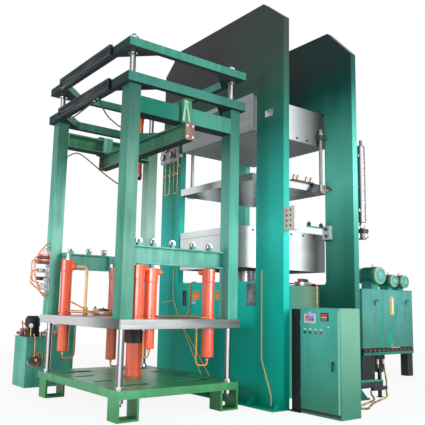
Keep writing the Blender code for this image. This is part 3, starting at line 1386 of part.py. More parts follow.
# Hoses: free along the floor between the stand's glands and the cabinet's
def make_hoses():
    for n, route in enumerate((HOSE_1_ROUTE, HOSE_2_ROUTE), 1):
        points = smooth_route(route, HOSE_POINTS)
        points[0].z -= SEAT
        points[1].xy = points[0].xy
        points[-1].x = CABINET_END_X + GLAND_LENGTH + SEAT
        points[-2].yz = points[-1].yz
        curve = bpy.data.curves.new(f"pump_hose_{n}", "CURVE")
        curve.dimensions = "3D"
        curve.bevel_depth = HOSE_RADIUS
        curve.bevel_resolution = 2
        curve.use_fill_caps = True
        spline = curve.splines.new("POLY")
        spline.points.add(len(points) - 1)
        for point, place in zip(spline.points, points):
            point.co = (*place, 1)
        material(adopt(f"pump_hose_{n}", curve), "hose_rubber")


make_base()
make_columns()
make_platform()
make_posts()
make_ring_frame("carriage_head_frame", HEAD_Z, HEAD_THICKNESS)
make_ring_frame("crown_frame", CROWN_Z, CROWN_THICKNESS)
make_head_beams()
make_hanger()
make_front_roller_beam()
make_back_roller_beam()
make_rollers()
make_lift_cylinders()
make_loader_ram()
make_frame_plate("frame_plate_1", PLATE_1_X, PLATE_1_CHAMFER, PLATE_1_CHAMFER_DROP, -1)
make_frame_plate("frame_plate_2", PLATE_2_X, PLATE_2_CHAMFER, PLATE_2_CHAMFER_DROP, 1)
make_upper_block()
make_middle_platen()
make_lower_table()
make_bed()
make_plate_boxes()
make_accumulator()
make_cabinet()
make_door()
make_handle()
make_buttons()
make_duct()
make_stand()
make_tank()
make_motors()
make_feed_unit()
make_hoses()
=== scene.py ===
"""A rubber vulcanizing press with its loader, control cabinet, power pack and feed unit."""

import math

import bmesh
import bpy
from mathutils import Matrix, Vector


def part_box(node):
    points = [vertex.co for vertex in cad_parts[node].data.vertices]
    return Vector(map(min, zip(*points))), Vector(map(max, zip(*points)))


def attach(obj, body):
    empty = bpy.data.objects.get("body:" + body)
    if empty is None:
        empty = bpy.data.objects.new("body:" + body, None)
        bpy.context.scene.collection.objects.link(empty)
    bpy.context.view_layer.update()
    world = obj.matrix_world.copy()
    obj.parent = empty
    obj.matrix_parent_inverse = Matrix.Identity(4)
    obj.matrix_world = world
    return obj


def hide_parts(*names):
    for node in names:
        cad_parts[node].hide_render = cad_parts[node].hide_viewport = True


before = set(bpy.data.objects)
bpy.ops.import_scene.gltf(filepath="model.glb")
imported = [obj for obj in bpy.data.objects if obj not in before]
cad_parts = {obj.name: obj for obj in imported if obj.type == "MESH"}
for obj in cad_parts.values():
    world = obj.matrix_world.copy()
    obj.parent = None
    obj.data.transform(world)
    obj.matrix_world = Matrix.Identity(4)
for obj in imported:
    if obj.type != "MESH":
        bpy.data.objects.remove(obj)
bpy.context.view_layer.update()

# Every place below is measured from the loader's own floor corner, as a fitter would
# tape the plant out on the hall's floor: X along the plant, Y away from the cabinet's side.
loader_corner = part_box("loader_base")[0]


def at(x, y, z):
    """A place on the plant, from the loader's corner and the floor."""
    return Vector((loader_corner.x + x, loader_corner.y + y, z))


# Camera: a standing person's eye before the loader's near corner, looking slightly up
# with a normal lens. Its place was solved from the plant's parallel edges.
heading, pitch, roll = math.radians(37.367), math.radians(8.767), math.radians(1.101)
ahead = Vector(
    (math.cos(pitch) * math.sin(heading), math.cos(pitch) * math.cos(heading), math.sin(pitch))
)
across = Vector((math.cos(heading), -math.sin(heading), 0))
upward = across.cross(ahead)
right = math.cos(roll) * across + math.sin(roll) * upward
top = -math.sin(roll) * across + math.cos(roll) * upward
bpy.ops.object.camera_add(location=at(-4.120, -7.474, 1.66))
camera = bpy.context.object
camera.rotation_euler = Matrix((right, top, -ahead)).transposed().to_euler()
camera.data.sensor_width = 36
camera.data.lens = 49.94
camera.data.clip_end = 200
bpy.context.scene.camera = camera
bpy.context.scene.view_settings.view_transform = "Standard"

# Hoses of the power pack: two rubber-covered wire-braid hoses of 36 mm, oily from the floor and
# clouded with ochre patches that are partly dust and partly painted highlight, from the stand's
# glands to the back of the control cabinet, loose on the floor.


class Value:
    """A socket of a finish, on which Python's own operators add Math nodes."""

    def __init__(self, finish, socket):
        self.finish = finish
        self.socket = socket

    def maths(self, operation, a, b):
        return self.finish.node("ShaderNodeMath", {"operation": operation}, {0: a, 1: b})

    def __add__(self, other):
        return self.maths("ADD", self, other)

    def __radd__(self, other):
        return self.maths("ADD", other, self)

    def __sub__(self, other):
        return self.maths("SUBTRACT", self, other)

    def __rsub__(self, other):
        return self.maths("SUBTRACT", other, self)

    def __mul__(self, other):
        return self.maths("MULTIPLY", self, other)


class Finish:
    """A material on one Principled shader, read in the object's own coordinates."""

    def __init__(self, name):
        self.material = bpy.data.materials.new(name)
        self.material.use_nodes = True
        self.tree = self.material.node_tree
        self.shader = self.tree.nodes["Principled BSDF"]
        self.place = self.node("ShaderNodeTexCoord", {}, {}, "Object")

    def node(self, kind, settings, inputs, output=0):
        node = self.tree.nodes.new(kind)
        for name, value in settings.items():
            if name == "stops":
                ramp = node.color_ramp
                while len(ramp.elements) < len(value):
                    ramp.elements.new(1.0)
                for element, (position, colour) in zip(ramp.elements, value):
                    element.position = position
                    element.color = (*colour, 1)
            else:
                setattr(node, name, value)
        for key, value in inputs.items():
            if isinstance(value, Value):
                self.tree.links.new(value.socket, node.inputs[key])
            else:
                node.inputs[key].default_value = value
        return Value(self, node.outputs[output])

    def maths(self, operation, value):
        return self.node("ShaderNodeMath", {"operation": operation}, {0: value})

    def noise(self, scale, detail=3.0, stretch=(1, 1, 1), rough=0.5):
        """Cloudy value round 0.5 with spots 1/scale metres wide, longer along small stretches."""
        vector = self.node(
            "ShaderNodeMapping", {"vector_type": "TEXTURE"},
            {"Vector": self.place, "Scale": tuple(1 / s for s in stretch)},
        )
        return self.node(
            "ShaderNodeTexNoise", {},
            {"Vector": vector, "Scale": scale, "Detail": detail, "Roughness": rough}, "Fac",
        )

    def between(self, value, low, high, start=0.0, end=1.0):
        """start below low, end above high, and a smooth step between them."""
        return self.node(
            "ShaderNodeMapRange", {"interpolation_type": "SMOOTHSTEP"},
            {"Value": value, "From Min": low, "From Max": high, "To Min": start, "To Max": end},
        )

    def mix(self, first, second, share):
        """Colour from first to second as share goes from 0 to 1."""
        first, second = (c if isinstance(c, Value) else (*c, 1) for c in (first, second))
        return self.node("ShaderNodeMix", {"data_type": "RGBA"}, {0: share, 6: first, 7: second}, 2)

    def axes(self):
        split = self.node("ShaderNodeSeparateXYZ", {}, {"Vector": self.place}).socket.node
        return [Value(self, output) for output in split.outputs]

    def wear(
        self, colour=None, rough=None, height=None, depth=0.001, metal=None, corner=0.0, shine=0.5
    ):
        """Sends the worked-out sockets to the shader, with corners rounded by a hair."""
        self.shader.inputs["Specular IOR Level"].default_value = shine
        for key, value in (("Base Color", colour), ("Roughness", rough), ("Metallic", metal)):
            if isinstance(value, Value):
                self.tree.links.new(value.socket, self.shader.inputs[key])
            elif value is not None:
                flat = (*value, 1) if key == "Base Color" else value
                self.shader.inputs[key].default_value = flat
        normal = None
        if corner:
            normal = self.node("ShaderNodeBevel", {"samples": 4}, {"Radius": corner})
        if height is not None:
            inputs = {"Height": height, "Distance": depth, "Strength": 1.0}
            if normal is not None:
                inputs["Normal"] = normal
            normal = self.node("ShaderNodeBump", {}, inputs)
        if normal is not None:
            self.tree.links.new(normal.socket, self.shader.inputs["Normal"])
        return self.material


def hose_cover(name, cover, dust_and_highlight):
    """Smooth rubber, dusted in patches of a second tint that is also a painted highlight, and
    rubbed where it was dragged.
    """
    finish = Finish(name)
    patches = finish.between(finish.noise(5.0, 4.0), 0.42, 0.62)
    grain = finish.noise(160.0, 2.0)
    colour = finish.mix(cover, dust_and_highlight, patches * 0.85 + grain * 0.12)
    return finish.wear(colour, 0.42 + patches * 0.3, grain, 0.0006)


def smooth_route(route, count):
    """Evenly spaced points on a smooth curve through the route's own points."""
    points = [at(*p) for p in route]
    ends = [2 * points[0] - points[1], *points, 2 * points[-1] - points[-2]]
    fine = []
    for a, b, c, d in zip(ends, ends[1:], ends[2:], ends[3:]):
        for step in range(24):
            t = step / 24
            fine.append(
                0.5
                * (
                    2 * b
                    + (c - a) * t
                    + (2 * a - 5 * b + 4 * c - d) * t * t
                    + (3 * b - a - 3 * c + d) * t * t * t
                )
            )
    fine.append(points[-1])
    travel = [0.0]
    for p, q in zip(fine, fine[1:]):
        travel.append(travel[-1] + (q - p).length)
    even = []
    spot = 0
    for n in range(count):
        want = travel[-1] * n / (count - 1)
        while spot < len(travel) - 2 and travel[spot + 1] < want:
            spot += 1
        share = (want - travel[spot]) / (travel[spot + 1] - travel[spot])
        even.append(fine[spot].lerp(fine[spot + 1], share))
    return even


def lay_line(name, points, radius, material, rings=3):
    """A round line along these points, as one open curve."""
    bpy.ops.object.select_all(action="DESELECT")
    bpy.ops.curve.primitive_nurbs_path_add(location=(0, 0, 0))
    line = bpy.context.object
    line.name = name
    line.data.splines.clear()
    spline = line.data.splines.new("POLY")
    spline.points.add(len(points) - 1)
    for spot, point in zip(spline.points, points):
        spot.co = (*point, 1)
    spline.use_smooth = True
    line.data.dimensions = "3D"
    line.data.bevel_depth = radius
    line.data.bevel_resolution = rings
    line.data.use_fill_caps = True
    line.data.materials.append(material)
    return line


def line_length(points):
    return sum((q - p).length for p, q in zip(points, points[1:]))


def pick(piece):
    """Selects this piece alone and makes it the active one."""
    bpy.ops.object.select_all(action="DESELECT")
    piece.select_set(True)
    bpy.context.view_layer.objects.active = piece


def turned(name, steps, place, axis, material, sides=24):
    """A round piece, drawn out ring by ring: steps are (radius, distance along the axis)."""
    bpy.ops.object.select_all(action="DESELECT")
    bpy.ops.mesh.primitive_circle_add(
        vertices=sides, radius=steps[0][0], fill_type="NGON", location=(0, 0, 0)
    )
    piece = bpy.context.object
    piece.name = name
    bpy.ops.object.mode_set(mode="EDIT")
    bpy.ops.mesh.select_mode(type="FACE")
    bpy.ops.mesh.select_all(action="SELECT")
    here, along = steps[0]
    bpy.ops.transform.translate(value=(0, 0, along))
    for radius, distance in steps[1:]:
        bpy.ops.mesh.extrude_region_move(TRANSFORM_OT_translate={"value": (0, 0, distance - along)})
        size = radius / here
        bpy.ops.transform.resize(value=(size, size, 1), center_override=(0, 0, distance))
        here, along = radius, distance
    bpy.ops.mesh.select_all(action="SELECT")
    bpy.ops.mesh.normals_make_consistent(inside=False)
    bpy.ops.object.mode_set(mode="OBJECT")
    piece.rotation_euler = Vector(axis).to_track_quat("Z", "Y").to_euler()
    piece.location = place
    return settle(piece, material)


def settle(piece, material=None):
    """Puts the piece's place in its mesh, smooths its round faces and paints it."""
    pick(piece)
    bpy.ops.object.transform_apply(location=True, rotation=True, scale=True)
    bpy.ops.object.shade_smooth_by_angle(angle=math.radians(35))
    if material is not None:
        piece.data.materials.clear()
        piece.data.materials.append(material)
    return piece


def as_one(name, pieces, body):
    """Joins pieces into one named piece that rides on a body."""
    bpy.ops.object.select_all(action="DESELECT")
    for piece in pieces:
        piece.select_set(True)
    bpy.context.view_layer.objects.active = pieces[0]
    if len(pieces) > 1:
        bpy.ops.object.join()
    joined = bpy.context.view_layer.objects.active
    joined.name = name
    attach(joined, body)


UP, DOWN, LEFT, RIGHT = (0, 0, 1), (0, 0, -1), (-1, 0, 0), (1, 0, 0)
NEAR, FAR = (0, -1, 0), (0, 1, 0)
zinc = Finish("zinc_plate")
zinc_cloud = zinc.noise(30.0, 3.0)
zinc = zinc.wear(
    zinc.mix((0.42, 0.43, 0.42), (0.66, 0.67, 0.68), zinc_cloud), 0.28 + zinc_cloud * 0.2,
    zinc_cloud, 0.0004, 1.0, 0.002,
)
hose_routes = (
    (
        (7.640, 1.420, 0.440), (7.640, 1.420, 0.390), (7.640, 1.420, 0.340), (7.632, 1.406, 0.220),
        (7.580, 1.350, 0.100), (7.400, 1.205, 0.030), (7.020, 0.960, 0.021), (6.500, 0.630, 0.021),
        (5.900, 0.260, 0.021), (5.420, -0.090, 0.021), (5.180, -0.300, 0.021),
        (4.980, -0.490, 0.021), (4.760, -0.650, 0.021), (4.440, -0.780, 0.021),
        (4.080, -0.910, 0.026), (3.770, -1.010, 0.060), (3.520, -1.040, 0.110),
        (3.420, -1.040, 0.120), (3.338, -1.040, 0.120),
    ),
    (
        (7.860, 1.420, 0.440), (7.860, 1.420, 0.390), (7.860, 1.420, 0.340), (7.850, 1.400, 0.220),
        (7.790, 1.330, 0.100), (7.620, 1.190, 0.030), (7.150, 0.830, 0.021), (6.600, 0.430, 0.021),
        (6.068, 0.035, 0.021), (5.640, -0.280, 0.021), (5.440, -0.440, 0.021),
        (5.180, -0.590, 0.021), (4.850, -0.715, 0.021), (4.500, -0.850, 0.021),
        (4.180, -1.030, 0.022), (3.840, -1.240, 0.045), (3.530, -1.300, 0.085),
        (3.420, -1.300, 0.090), (3.338, -1.300, 0.090),
    ),
)
HOSE_RADIUS = 0.018
FERRULE_STEPS = [
    (0.019, 0.0), (0.029, 0.004), (0.029, 0.022), (0.0235, 0.026), (0.0245, 0.06), (0.0235, 0.064),
    (0.0235, 0.072), (0.0245, 0.076), (0.0235, 0.11), (0.0185, 0.114),
]
# Black rubber whose ochre patches are partly dust and partly painted highlight.
hose_rubber = hose_cover("hose_rubber", (0.012, 0.012, 0.010), (0.60, 0.42, 0.09))
for n, route in enumerate(hose_routes, 1):
    points = smooth_route(route, 160)
    hose = lay_line(f"hose_{n}", points, HOSE_RADIUS, hose_rubber)
    top_end = turned(f"hose_{n}_stand_ferrule", FERRULE_STEPS, points[0], DOWN, zinc, 20)
    low_end = turned(f"hose_{n}_cabinet_ferrule", FERRULE_STEPS, points[-1], RIGHT, zinc, 20)
    for piece in (hose, top_end, low_end):
        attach(piece, "plant")
    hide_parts(f"pump_hose_{n}")
    line_length(points)

# Loader's control cables: three thin sheathed cables that hang under the head frame, each
# clipped under its rail or let into a post through a gland, and free in between.
cable_routes = (
    (
        (0.052, 2.200, 4.914), (0.040, 2.120, 4.896), (0.020, 1.960, 4.886), (0.000, 1.740, 4.888),
        (-0.015, 1.480, 4.900), (-0.028, 1.250, 4.914), (-0.030, 1.150, 4.922),
    ),
    (
        (-0.030, 1.010, 4.922), (-0.028, 0.960, 4.880), (-0.020, 0.840, 4.715),
        (-0.006, 0.680, 4.545), (0.010, 0.500, 4.415), (0.024, 0.370, 4.325),
        (0.030, 0.2745, 4.290),
    ),
    (
        (0.179, 2.6585, 4.275), (0.192, 2.580, 4.300), (0.225, 2.400, 4.318), (0.238, 2.220, 4.280),
        (0.232, 1.900, 4.130), (0.210, 1.500, 3.925), (0.170, 1.000, 3.676), (0.100, 0.560, 3.492),
        (0.045, 0.350, 3.422), (0.027, 0.2745, 3.405),
    ),
)
CABLE_RADIUS = 0.011
# Dark sheath whose brown patches are partly dust and partly painted highlight.
cable_sheath = hose_cover("cable_sheath", (0.016, 0.020, 0.016), (0.060, 0.054, 0.034))
for n, route in enumerate(cable_routes, 1):
    points = smooth_route(route, 60)
    cable = lay_line(f"control_cable_{n}", points, CABLE_RADIUS, cable_sheath, 2)
    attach(cable, "carriage")
    line_length(points)

# Hall: a pale floor that runs into a white backdrop, a soft lamp from the camera's right, a
# weaker one from its left, and a small one near the camera that glints on round pieces. What
# the camera sees of the backdrop is brighter than the light it gives.
bpy.ops.object.select_all(action="DESELECT")
bpy.ops.mesh.primitive_plane_add(size=160, location=(0, 0, 0))
floor = bpy.context.object
floor.name = "floor"
bpy.ops.object.mode_set(mode="EDIT")
bpy.ops.mesh.subdivide(number_cuts=3)
bpy.ops.object.mode_set(mode="OBJECT")
floor_paint = Finish("floor_paint")
cloud = floor_paint.noise(0.6, 3.0)
floor_paint.wear(floor_paint.mix((0.80, 0.80, 0.79), (0.86, 0.86, 0.85), cloud), 0.7)
seen = floor_paint.node("ShaderNodeLightPath", {}, {}, "Is Camera Ray")
mirrored = floor_paint.node("ShaderNodeLightPath", {}, {}, "Is Glossy Ray")
through = floor_paint.node("ShaderNodeLightPath", {}, {}, "Is Transmission Ray")
x, y, z = floor_paint.axes()
away = floor_paint.between(x * x + y * y, 20.0, 250.0, 0.90, 1.0)
white = floor_paint.node("ShaderNodeEmission", {}, {"Color": (1, 1, 1, 1), "Strength": 1.0})
both = floor_paint.node(
    "ShaderNodeMixShader", {}, {0: (seen + mirrored + through) * away}
).socket.node
tree = floor_paint.tree
tree.links.new(floor_paint.shader.outputs[0], both.inputs[1])
tree.links.new(white.socket, both.inputs[2])
tree.links.new(both.outputs[0], tree.nodes["Material Output"].inputs["Surface"])
floor.data.materials.append(floor_paint.material)

world = bpy.data.worlds.new("backdrop")
bpy.context.scene.world = world
world.use_nodes = True
nodes, links = world.node_tree.nodes, world.node_tree.links
dim = nodes["Background"]
dim.inputs["Color"].default_value = (0.93, 0.97, 1.0, 1)
dim.inputs["Strength"].default_value = 0.42
bright = nodes.new("ShaderNodeBackground")
bright.inputs["Color"].default_value = (1, 1, 1, 1)
rays = nodes.new("ShaderNodeLightPath")
direct = nodes.new("ShaderNodeMath")
direct.operation = "MAXIMUM"
links.new(rays.outputs["Is Camera Ray"], direct.inputs[0])
links.new(rays.outputs["Is Glossy Ray"], direct.inputs[1])
either = nodes.new("ShaderNodeMath")
either.operation = "MAXIMUM"
links.new(direct.outputs[0], either.inputs[0])
links.new(rays.outputs["Is Transmission Ray"], either.inputs[1])
chosen = nodes.new("ShaderNodeMixShader")
links.new(either.outputs[0], chosen.inputs[0])
links.new(dim.outputs[0], chosen.inputs[1])
links.new(bright.outputs[0], chosen.inputs[2])
links.new(chosen.outputs[0], nodes["World Output"].inputs["Surface"])

for place, aim, size, power in (
    (at(6.5, -13.0, 4.5), at(3.2, 0.5, 2.2), 6.0, 1750),
    (at(-11.0, 2.0, 4.0), at(2.0, 1.5, 2.4), 5.0, 760),
    (at(-8.6, -12.6, 2.3), at(1.4, 0.8, 1.9), 1.5, 260),
):
    bpy.ops.object.light_add(type="AREA", location=place)
    lamp = bpy.context.object
    lamp.rotation_euler = (aim - place).to_track_quat("-Z", "Y").to_euler()
    lamp.data.size = size
    lamp.data.energy = power

# Loader's base: a slotted deck plate on four hollow welded feet, sprayed in the plant's lighter
# green, which has clouded, run a little and chipped at the corners, with painted shade that darkens
# it towards the floor and in its slots.


def enamel(
    name, fresh, deep, rough=0.30, size=1.0, soil=0.3, height_shade=None, shine=0.3, faces=(), runs=(),
    recess_shade=None,
):
    """Sprayed enamel: clouded, streaked downwards, chipped in specks and dusty near the floor, with
    painted shade that darkens it from the first height of its height shade to the second. Each of
    faces is a side painted in its own tint as painted light or shade: its axis, where the tint
    begins and is full, and the tint. Each of runs is a wet run of oil down the front: its upper and
    lower (x, z) and its width at each. In the recess shade, a height and two corners, what lies
    lower than that height inside the corners is darkened as painted shade in the recesses."""
    finish = Finish(name)
    cloud = finish.noise(0.9 * size, 3.0)
    streak = finish.noise(9.0 * size, 4.0, (1, 1, 0.10))
    grain = finish.noise(120.0, 2.0)
    shade = finish.between(cloud * 0.55 + streak * 0.45, 0.36, 0.62)
    colour = finish.mix(deep, fresh, shade)
    x, y, z = finish.axes()
    low = finish.between(z + streak * 0.5, 0.15, 0.9, soil, 0.0)
    colour = finish.mix(colour, tuple(0.55 * c + 0.03 for c in deep), low)
    matt = 0.0
    # Painted light and shade: each listed side gets its own lighter or darker tint.
    for axis, start, full, tint in faces:
        on_side = finish.between((x, y, z)[axis], start, full)
        colour = finish.mix(colour, tint, on_side * 0.92)
        matt = on_side * 0.5 + matt
    # Painted shade: darker from one height to the other, as the light falls off.
    if height_shade:
        height_darkening = finish.between(z + cloud * 0.5, height_shade[0], height_shade[1], 0.0, height_shade[2])
        colour = finish.mix(colour, height_shade[3], height_darkening)
    for (x_top, z_top), (x_low, z_low), start, end in runs:
        down = finish.between(z, z_top, z_low)
        middle = down * (x_low - x_top) + (loader_corner.x + x_top)
        off = finish.maths("ABSOLUTE", x - middle + (streak - 0.5) * 0.02) - down * (end - start)
        wet = finish.between(off, start + 0.012, start) * finish.between(z, z_top + 0.02, z_top)
        colour = finish.mix(colour, (0.008, 0.30, 0.235), wet * 0.9)
    # Painted shade: the floors of the recesses are darkened.
    if recess_shade:
        top, near, far = recess_shade
        recess_darkening = finish.between(z, top - 0.003, top - 0.010)
        for value, inner, outer in ((x, near[0], far[0]), (y, near[1], far[1])):
            inside = finish.between(value, inner, inner + 0.01)
            recess_darkening = recess_darkening * inside * finish.between(value, outer, outer - 0.01)
        colour = finish.mix(colour, (0.010, 0.075, 0.032), recess_darkening * 0.9)
    chips = finish.between(finish.noise(11.0 * size, 6.0, rough=0.72), 0.715, 0.735)
    colour = finish.mix(colour, (0.05, 0.06, 0.055), chips)
    dull = rough + (1 - shade) * 0.12 + chips * 0.3 + low * 0.2 + matt
    return finish.wear(colour, dull, grain * 0.5 - chips * 1.5, 0.0008, corner=0.004, shine=shine)


def paint(nodes, material):
    """Gives solids of the frame their finish."""
    for name in nodes:
        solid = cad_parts[name]
        solid.data.materials.clear()
        solid.data.materials.append(material)


low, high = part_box("loader_base")
# Painted shade: darker towards the floor, and dark on the floors of the slots.
loader_green = enamel(
    "loader_green", (0.085, 0.38, 0.185), (0.045, 0.27, 0.12), soil=0.0,
    height_shade=(0.95, 0.20, 0.88, (0.030, 0.190, 0.045)),
    recess_shade=(high.z, (low.x + 0.20, low.y + 0.40), (high.x - 0.20, high.y - 0.40)),
)
paint(["loader_base"], loader_green)

# Guide columns: four ground and hard-chromed bars with a nut at each end, filmed with oil that has
# gathered in rings and streaks down the bar, with bright and dim bands of painted reflection along
# each bar.


def ground_steel(name, light, dark, rough=0.25, run=(1, 1, 0.03), scale=26.0, metal=1.0):
    """Steel with the fine parallel lines of its grinding, and duller patches."""
    finish = Finish(name)
    lines = finish.noise(scale, 3.0, run)
    patch = finish.noise(2.2, 3.0)
    tone = finish.between(lines * 0.5 + patch * 0.5, 0.36, 0.64)
    colour = finish.mix(dark, light, tone)
    return finish.wear(colour, rough + (1 - tone) * 0.16, lines, 0.0004, metal, 0.002)


PAINTED_REFLECTION_SIDE = 52.6  # degrees from X, where the bright band of a bar's painted reflection lies


def painted_reflection_bar(name, middle, radius, light, dark):
    """A polished round bar, with bright and dim bands of painted reflection along it, as ground
    chrome shows them.
    """
    finish = Finish(name)
    x, y, z = finish.axes()
    across, along = (x - middle.x) * (1 / radius), (y - middle.y) * (1 / radius)
    turn = math.radians(2 * PAINTED_REFLECTION_SIDE)
    band = (across * across - along * along) * math.cos(turn)
    band = band + across * along * (2 * math.sin(turn))
    film = finish.noise(9.0, 4.0, (1, 1, 0.12))
    tone = finish.between(band * band + film * 0.3, 0.45, 1.05)
    return finish.wear(
        finish.mix(dark, light, tone), 0.14 + (1 - tone) * 0.10, film, 0.0003, 1.0, 0.002
    )


for n in range(1, 5):
    low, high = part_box(f"guide_column_{n}")
    bar = painted_reflection_bar(
        f"column_steel_{n}", (low + high) / 2, 0.047, (0.80, 0.81, 0.82), (0.17, 0.16, 0.17)
    )
    paint([f"guide_column_{n}"], bar)

# Lift platform: a milled steel slab, bare all over, with broad painted reflection and shade across
# its faces, and painted shade that leaves it black below.
slab_steel = Finish("slab_steel")
mill = slab_steel.noise(34.0, 3.0, (0.05, 1, 1))
broad = slab_steel.noise(0.9, 2.0)
x, y, z = slab_steel.axes()
base = at(0, 0, 0)
# Painted reflection and shade: brightness that changes along the slab's sides and ends.
side_painted_shade = slab_steel.between(x + broad * 0.3, base.x + 1.00, base.x + 1.80, 0.15, 0.05)
end_painted_reflection = slab_steel.between(y + broad * 0.3, base.y + 0.15, base.y + 1.4, 0.0, 0.62)
corner_tone = slab_steel.between(x, base.x - 0.02, base.x + 0.02)
tone = end_painted_reflection * (1 - corner_tone) + side_painted_shade * corner_tone + (mill - 0.5) * 0.25
# Painted shade: the underside is near black.
under = slab_steel.between(z, 1.272, 1.276)
steel = slab_steel.mix((0.08, 0.085, 0.085), (0.90, 0.91, 0.92), tone)
slab_steel = slab_steel.wear(
    slab_steel.mix((0.02, 0.05, 0.045), steel, under), 0.32 + mill * 0.1, mill, 0.0004, 0.8, 0.003
)
paint(["lift_platform"], slab_steel)

# Carriage posts: four square posts, welded from plate and sprayed green, each with its own painted
# light: a shaded copy of the green on the near post, a lit copy on the far one, a painted lighter
# side on the right one, and painted shade on their upper halves.
POST_HEIGHT_SHADE = (2.9, 5.2, 0.85, (0.012, 0.085, 0.062))
frame_green = enamel(
    "frame_green", (0.115, 0.49, 0.37), (0.048, 0.32, 0.225), 0.26, height_shade=POST_HEIGHT_SHADE, shine=0.2
)
# Painted shade: a darker copy of the post green for the near post.
near_post_shaded_green = enamel(
    "near_post_shaded_green", (0.062, 0.32, 0.225), (0.028, 0.21, 0.142), 0.26, height_shade=POST_HEIGHT_SHADE,
    shine=0.2,
)
# Painted light: a lighter copy of the post green for the far post.
far_post_lit_green = enamel(
    "far_post_lit_green", (0.66, 0.90, 0.80), (0.36, 0.72, 0.62), 0.26,
    height_shade=(2.6, 5.0, 0.85, (0.045, 0.20, 0.110)), shine=0.2,
)
paint(["carriage_post_1"], near_post_shaded_green)
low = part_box("carriage_post_2")[0]
# Painted light: a lighter tint on the right post's -X side.
right_post_lit_side_green = enamel(
    "right_post_lit_side_green", (0.108, 0.46, 0.35), (0.050, 0.32, 0.235), 0.26, height_shade=POST_HEIGHT_SHADE,
    shine=0.2, faces=[(0, low.x + 0.006, low.x + 0.002, (0.170, 0.49, 0.43))],
)
paint(["carriage_post_2"], right_post_lit_side_green)
paint(["carriage_post_3"], frame_green)
paint(["carriage_post_4"], far_post_lit_green)

# Head frame, crown frame and head beams: rolled channels welded into frames, in deeper greens that
# are lighter and darker copies as painted light and shade, with painted shade on their undersides,
# on the faces turned away from the daylight and towards the low end in X of the front beam.
for node, fresh, deep, below in (
    ("carriage_head_frame", (0.036, 0.205, 0.155), (0.020, 0.140, 0.105), (0.018, 0.020, 0.026)),
    ("crown_frame", (0.050, 0.275, 0.200), (0.026, 0.185, 0.135), (0.030, 0.024, 0.034)),
    ("head_beam_front", (0.050, 0.275, 0.200), (0.026, 0.185, 0.135), (0.016, 0.017, 0.022)),
    ("head_beam_back", (0.130, 0.42, 0.245), (0.080, 0.30, 0.17), (0.016, 0.030, 0.024)),
):
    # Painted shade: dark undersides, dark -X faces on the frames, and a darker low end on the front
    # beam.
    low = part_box(node)[0]
    sides = [(2, low.z + 0.006, low.z + 0.002, below)]
    if "frame" in node:
        sides.append((0, low.x + 0.006, low.x + 0.002, (0.014, 0.020, 0.028)))
    if node == "head_beam_front":
        sides.insert(0, (0, low.x + 1.40, low.x + 0.35, (0.008, 0.150, 0.100)))
    green = enamel(f"{node}_green", fresh, deep, 0.3, soil=0.0, shine=0.2, faces=sides)
    paint([node], green)

# Hanger beam: a rolled I-beam that travels along the head beams, dull, with painted shade on its
# underside. The two roller beams under it are box beams that rise together with their rollers, with
# painted shade that darkens them upwards.
# Painted shade: darker upwards.
beam_green = enamel(
    "beam_green", (0.105, 0.45, 0.36), (0.050, 0.30, 0.22), 0.3,
    height_shade=(2.9, 4.6, 0.75, (0.020, 0.075, 0.050)),
)
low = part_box("hanger_beam")[0]
# Painted shade: a near-black underside.
hanger_green = enamel(
    "hanger_green", (0.062, 0.20, 0.12), (0.030, 0.105, 0.062), 0.3, soil=0.0, shine=0.2,
    faces=[(2, low.z + 0.006, low.z + 0.002, (0.014, 0.015, 0.018))],
)
paint(["hanger_beam"], hanger_green)
paint(["roller_beam_front", "roller_beam_back"], beam_green)

# Rollers: turned steel wheels on pins, five on the front beam and three on the back one, with
# treads that the moulds' edges keep bright.
roller_steel = ground_steel(
    "roller_steel", (0.66, 0.66, 0.64), (0.22, 0.23, 0.26), 0.34, (1, 1, 1), 34.0, 0.6
)
paint(
    [f"front_roller_{n}" for n in range(1, 6)] + [f"back_roller_{n}" for n in range(1, 4)],
    roller_steel,
)

# Lift cylinders: honed steel tubes with heavy heads and flanges, sprayed a glossy orange red,
# and the central ram's cylinder in the same paint with its black plunger.
red_enamel = enamel(
    "red_enamel", (0.94, 0.155, 0.040), (0.84, 0.085, 0.034), 0.12, soil=0.0, shine=0.8
)
paint([f"lift_cylinder_{n}" for n in range(1, 6)] + ["ram_cylinder"], red_enamel)
black_enamel = enamel("black_enamel", (0.018, 0.019, 0.022), (0.008, 0.008, 0.010), 0.3)
paint(["ram_plunger"], black_enamel)


def block(name, low, high, material, edge=0.004):
    """A block with broken edges between two corners."""
    bpy.ops.object.select_all(action="DESELECT")
    low, high = Vector(low), Vector(high)
    bpy.ops.mesh.primitive_cube_add(size=1, location=(low + high) / 2)
    piece = bpy.context.object
    piece.name = name
    piece.scale = high - low
    bpy.ops.object.transform_apply(location=True, rotation=True, scale=True)
    if edge:
        bpy.ops.object.mode_set(mode="EDIT")
        bpy.ops.mesh.select_all(action="SELECT")
        bpy.ops.mesh.bevel(offset=edge, segments=2, affect="EDGES")
        bpy.ops.object.mode_set(mode="OBJECT")
    return settle(piece, material)


def draw_in(piece, facing, inset, depth):
    """Insets the big face that looks that way and pushes it in, or out where depth is below 0."""
    pick(piece)
    bpy.ops.object.mode_set(mode="EDIT")
    bpy.ops.mesh.select_mode(type="FACE")
    bpy.ops.mesh.select_all(action="DESELECT")
    mesh = bmesh.from_edit_mesh(piece.data)
    facing = Vector(facing)
    looking = [face for face in mesh.faces if face.normal.dot(facing) > 0.95]
    max(looking, key=lambda face: face.calc_area()).select = True
    bmesh.update_edit_mesh(piece.data)
    bpy.ops.mesh.inset(thickness=inset)
    bpy.ops.mesh.extrude_region_move(TRANSFORM_OT_translate={"value": facing * -depth})
    bpy.ops.object.mode_set(mode="OBJECT")


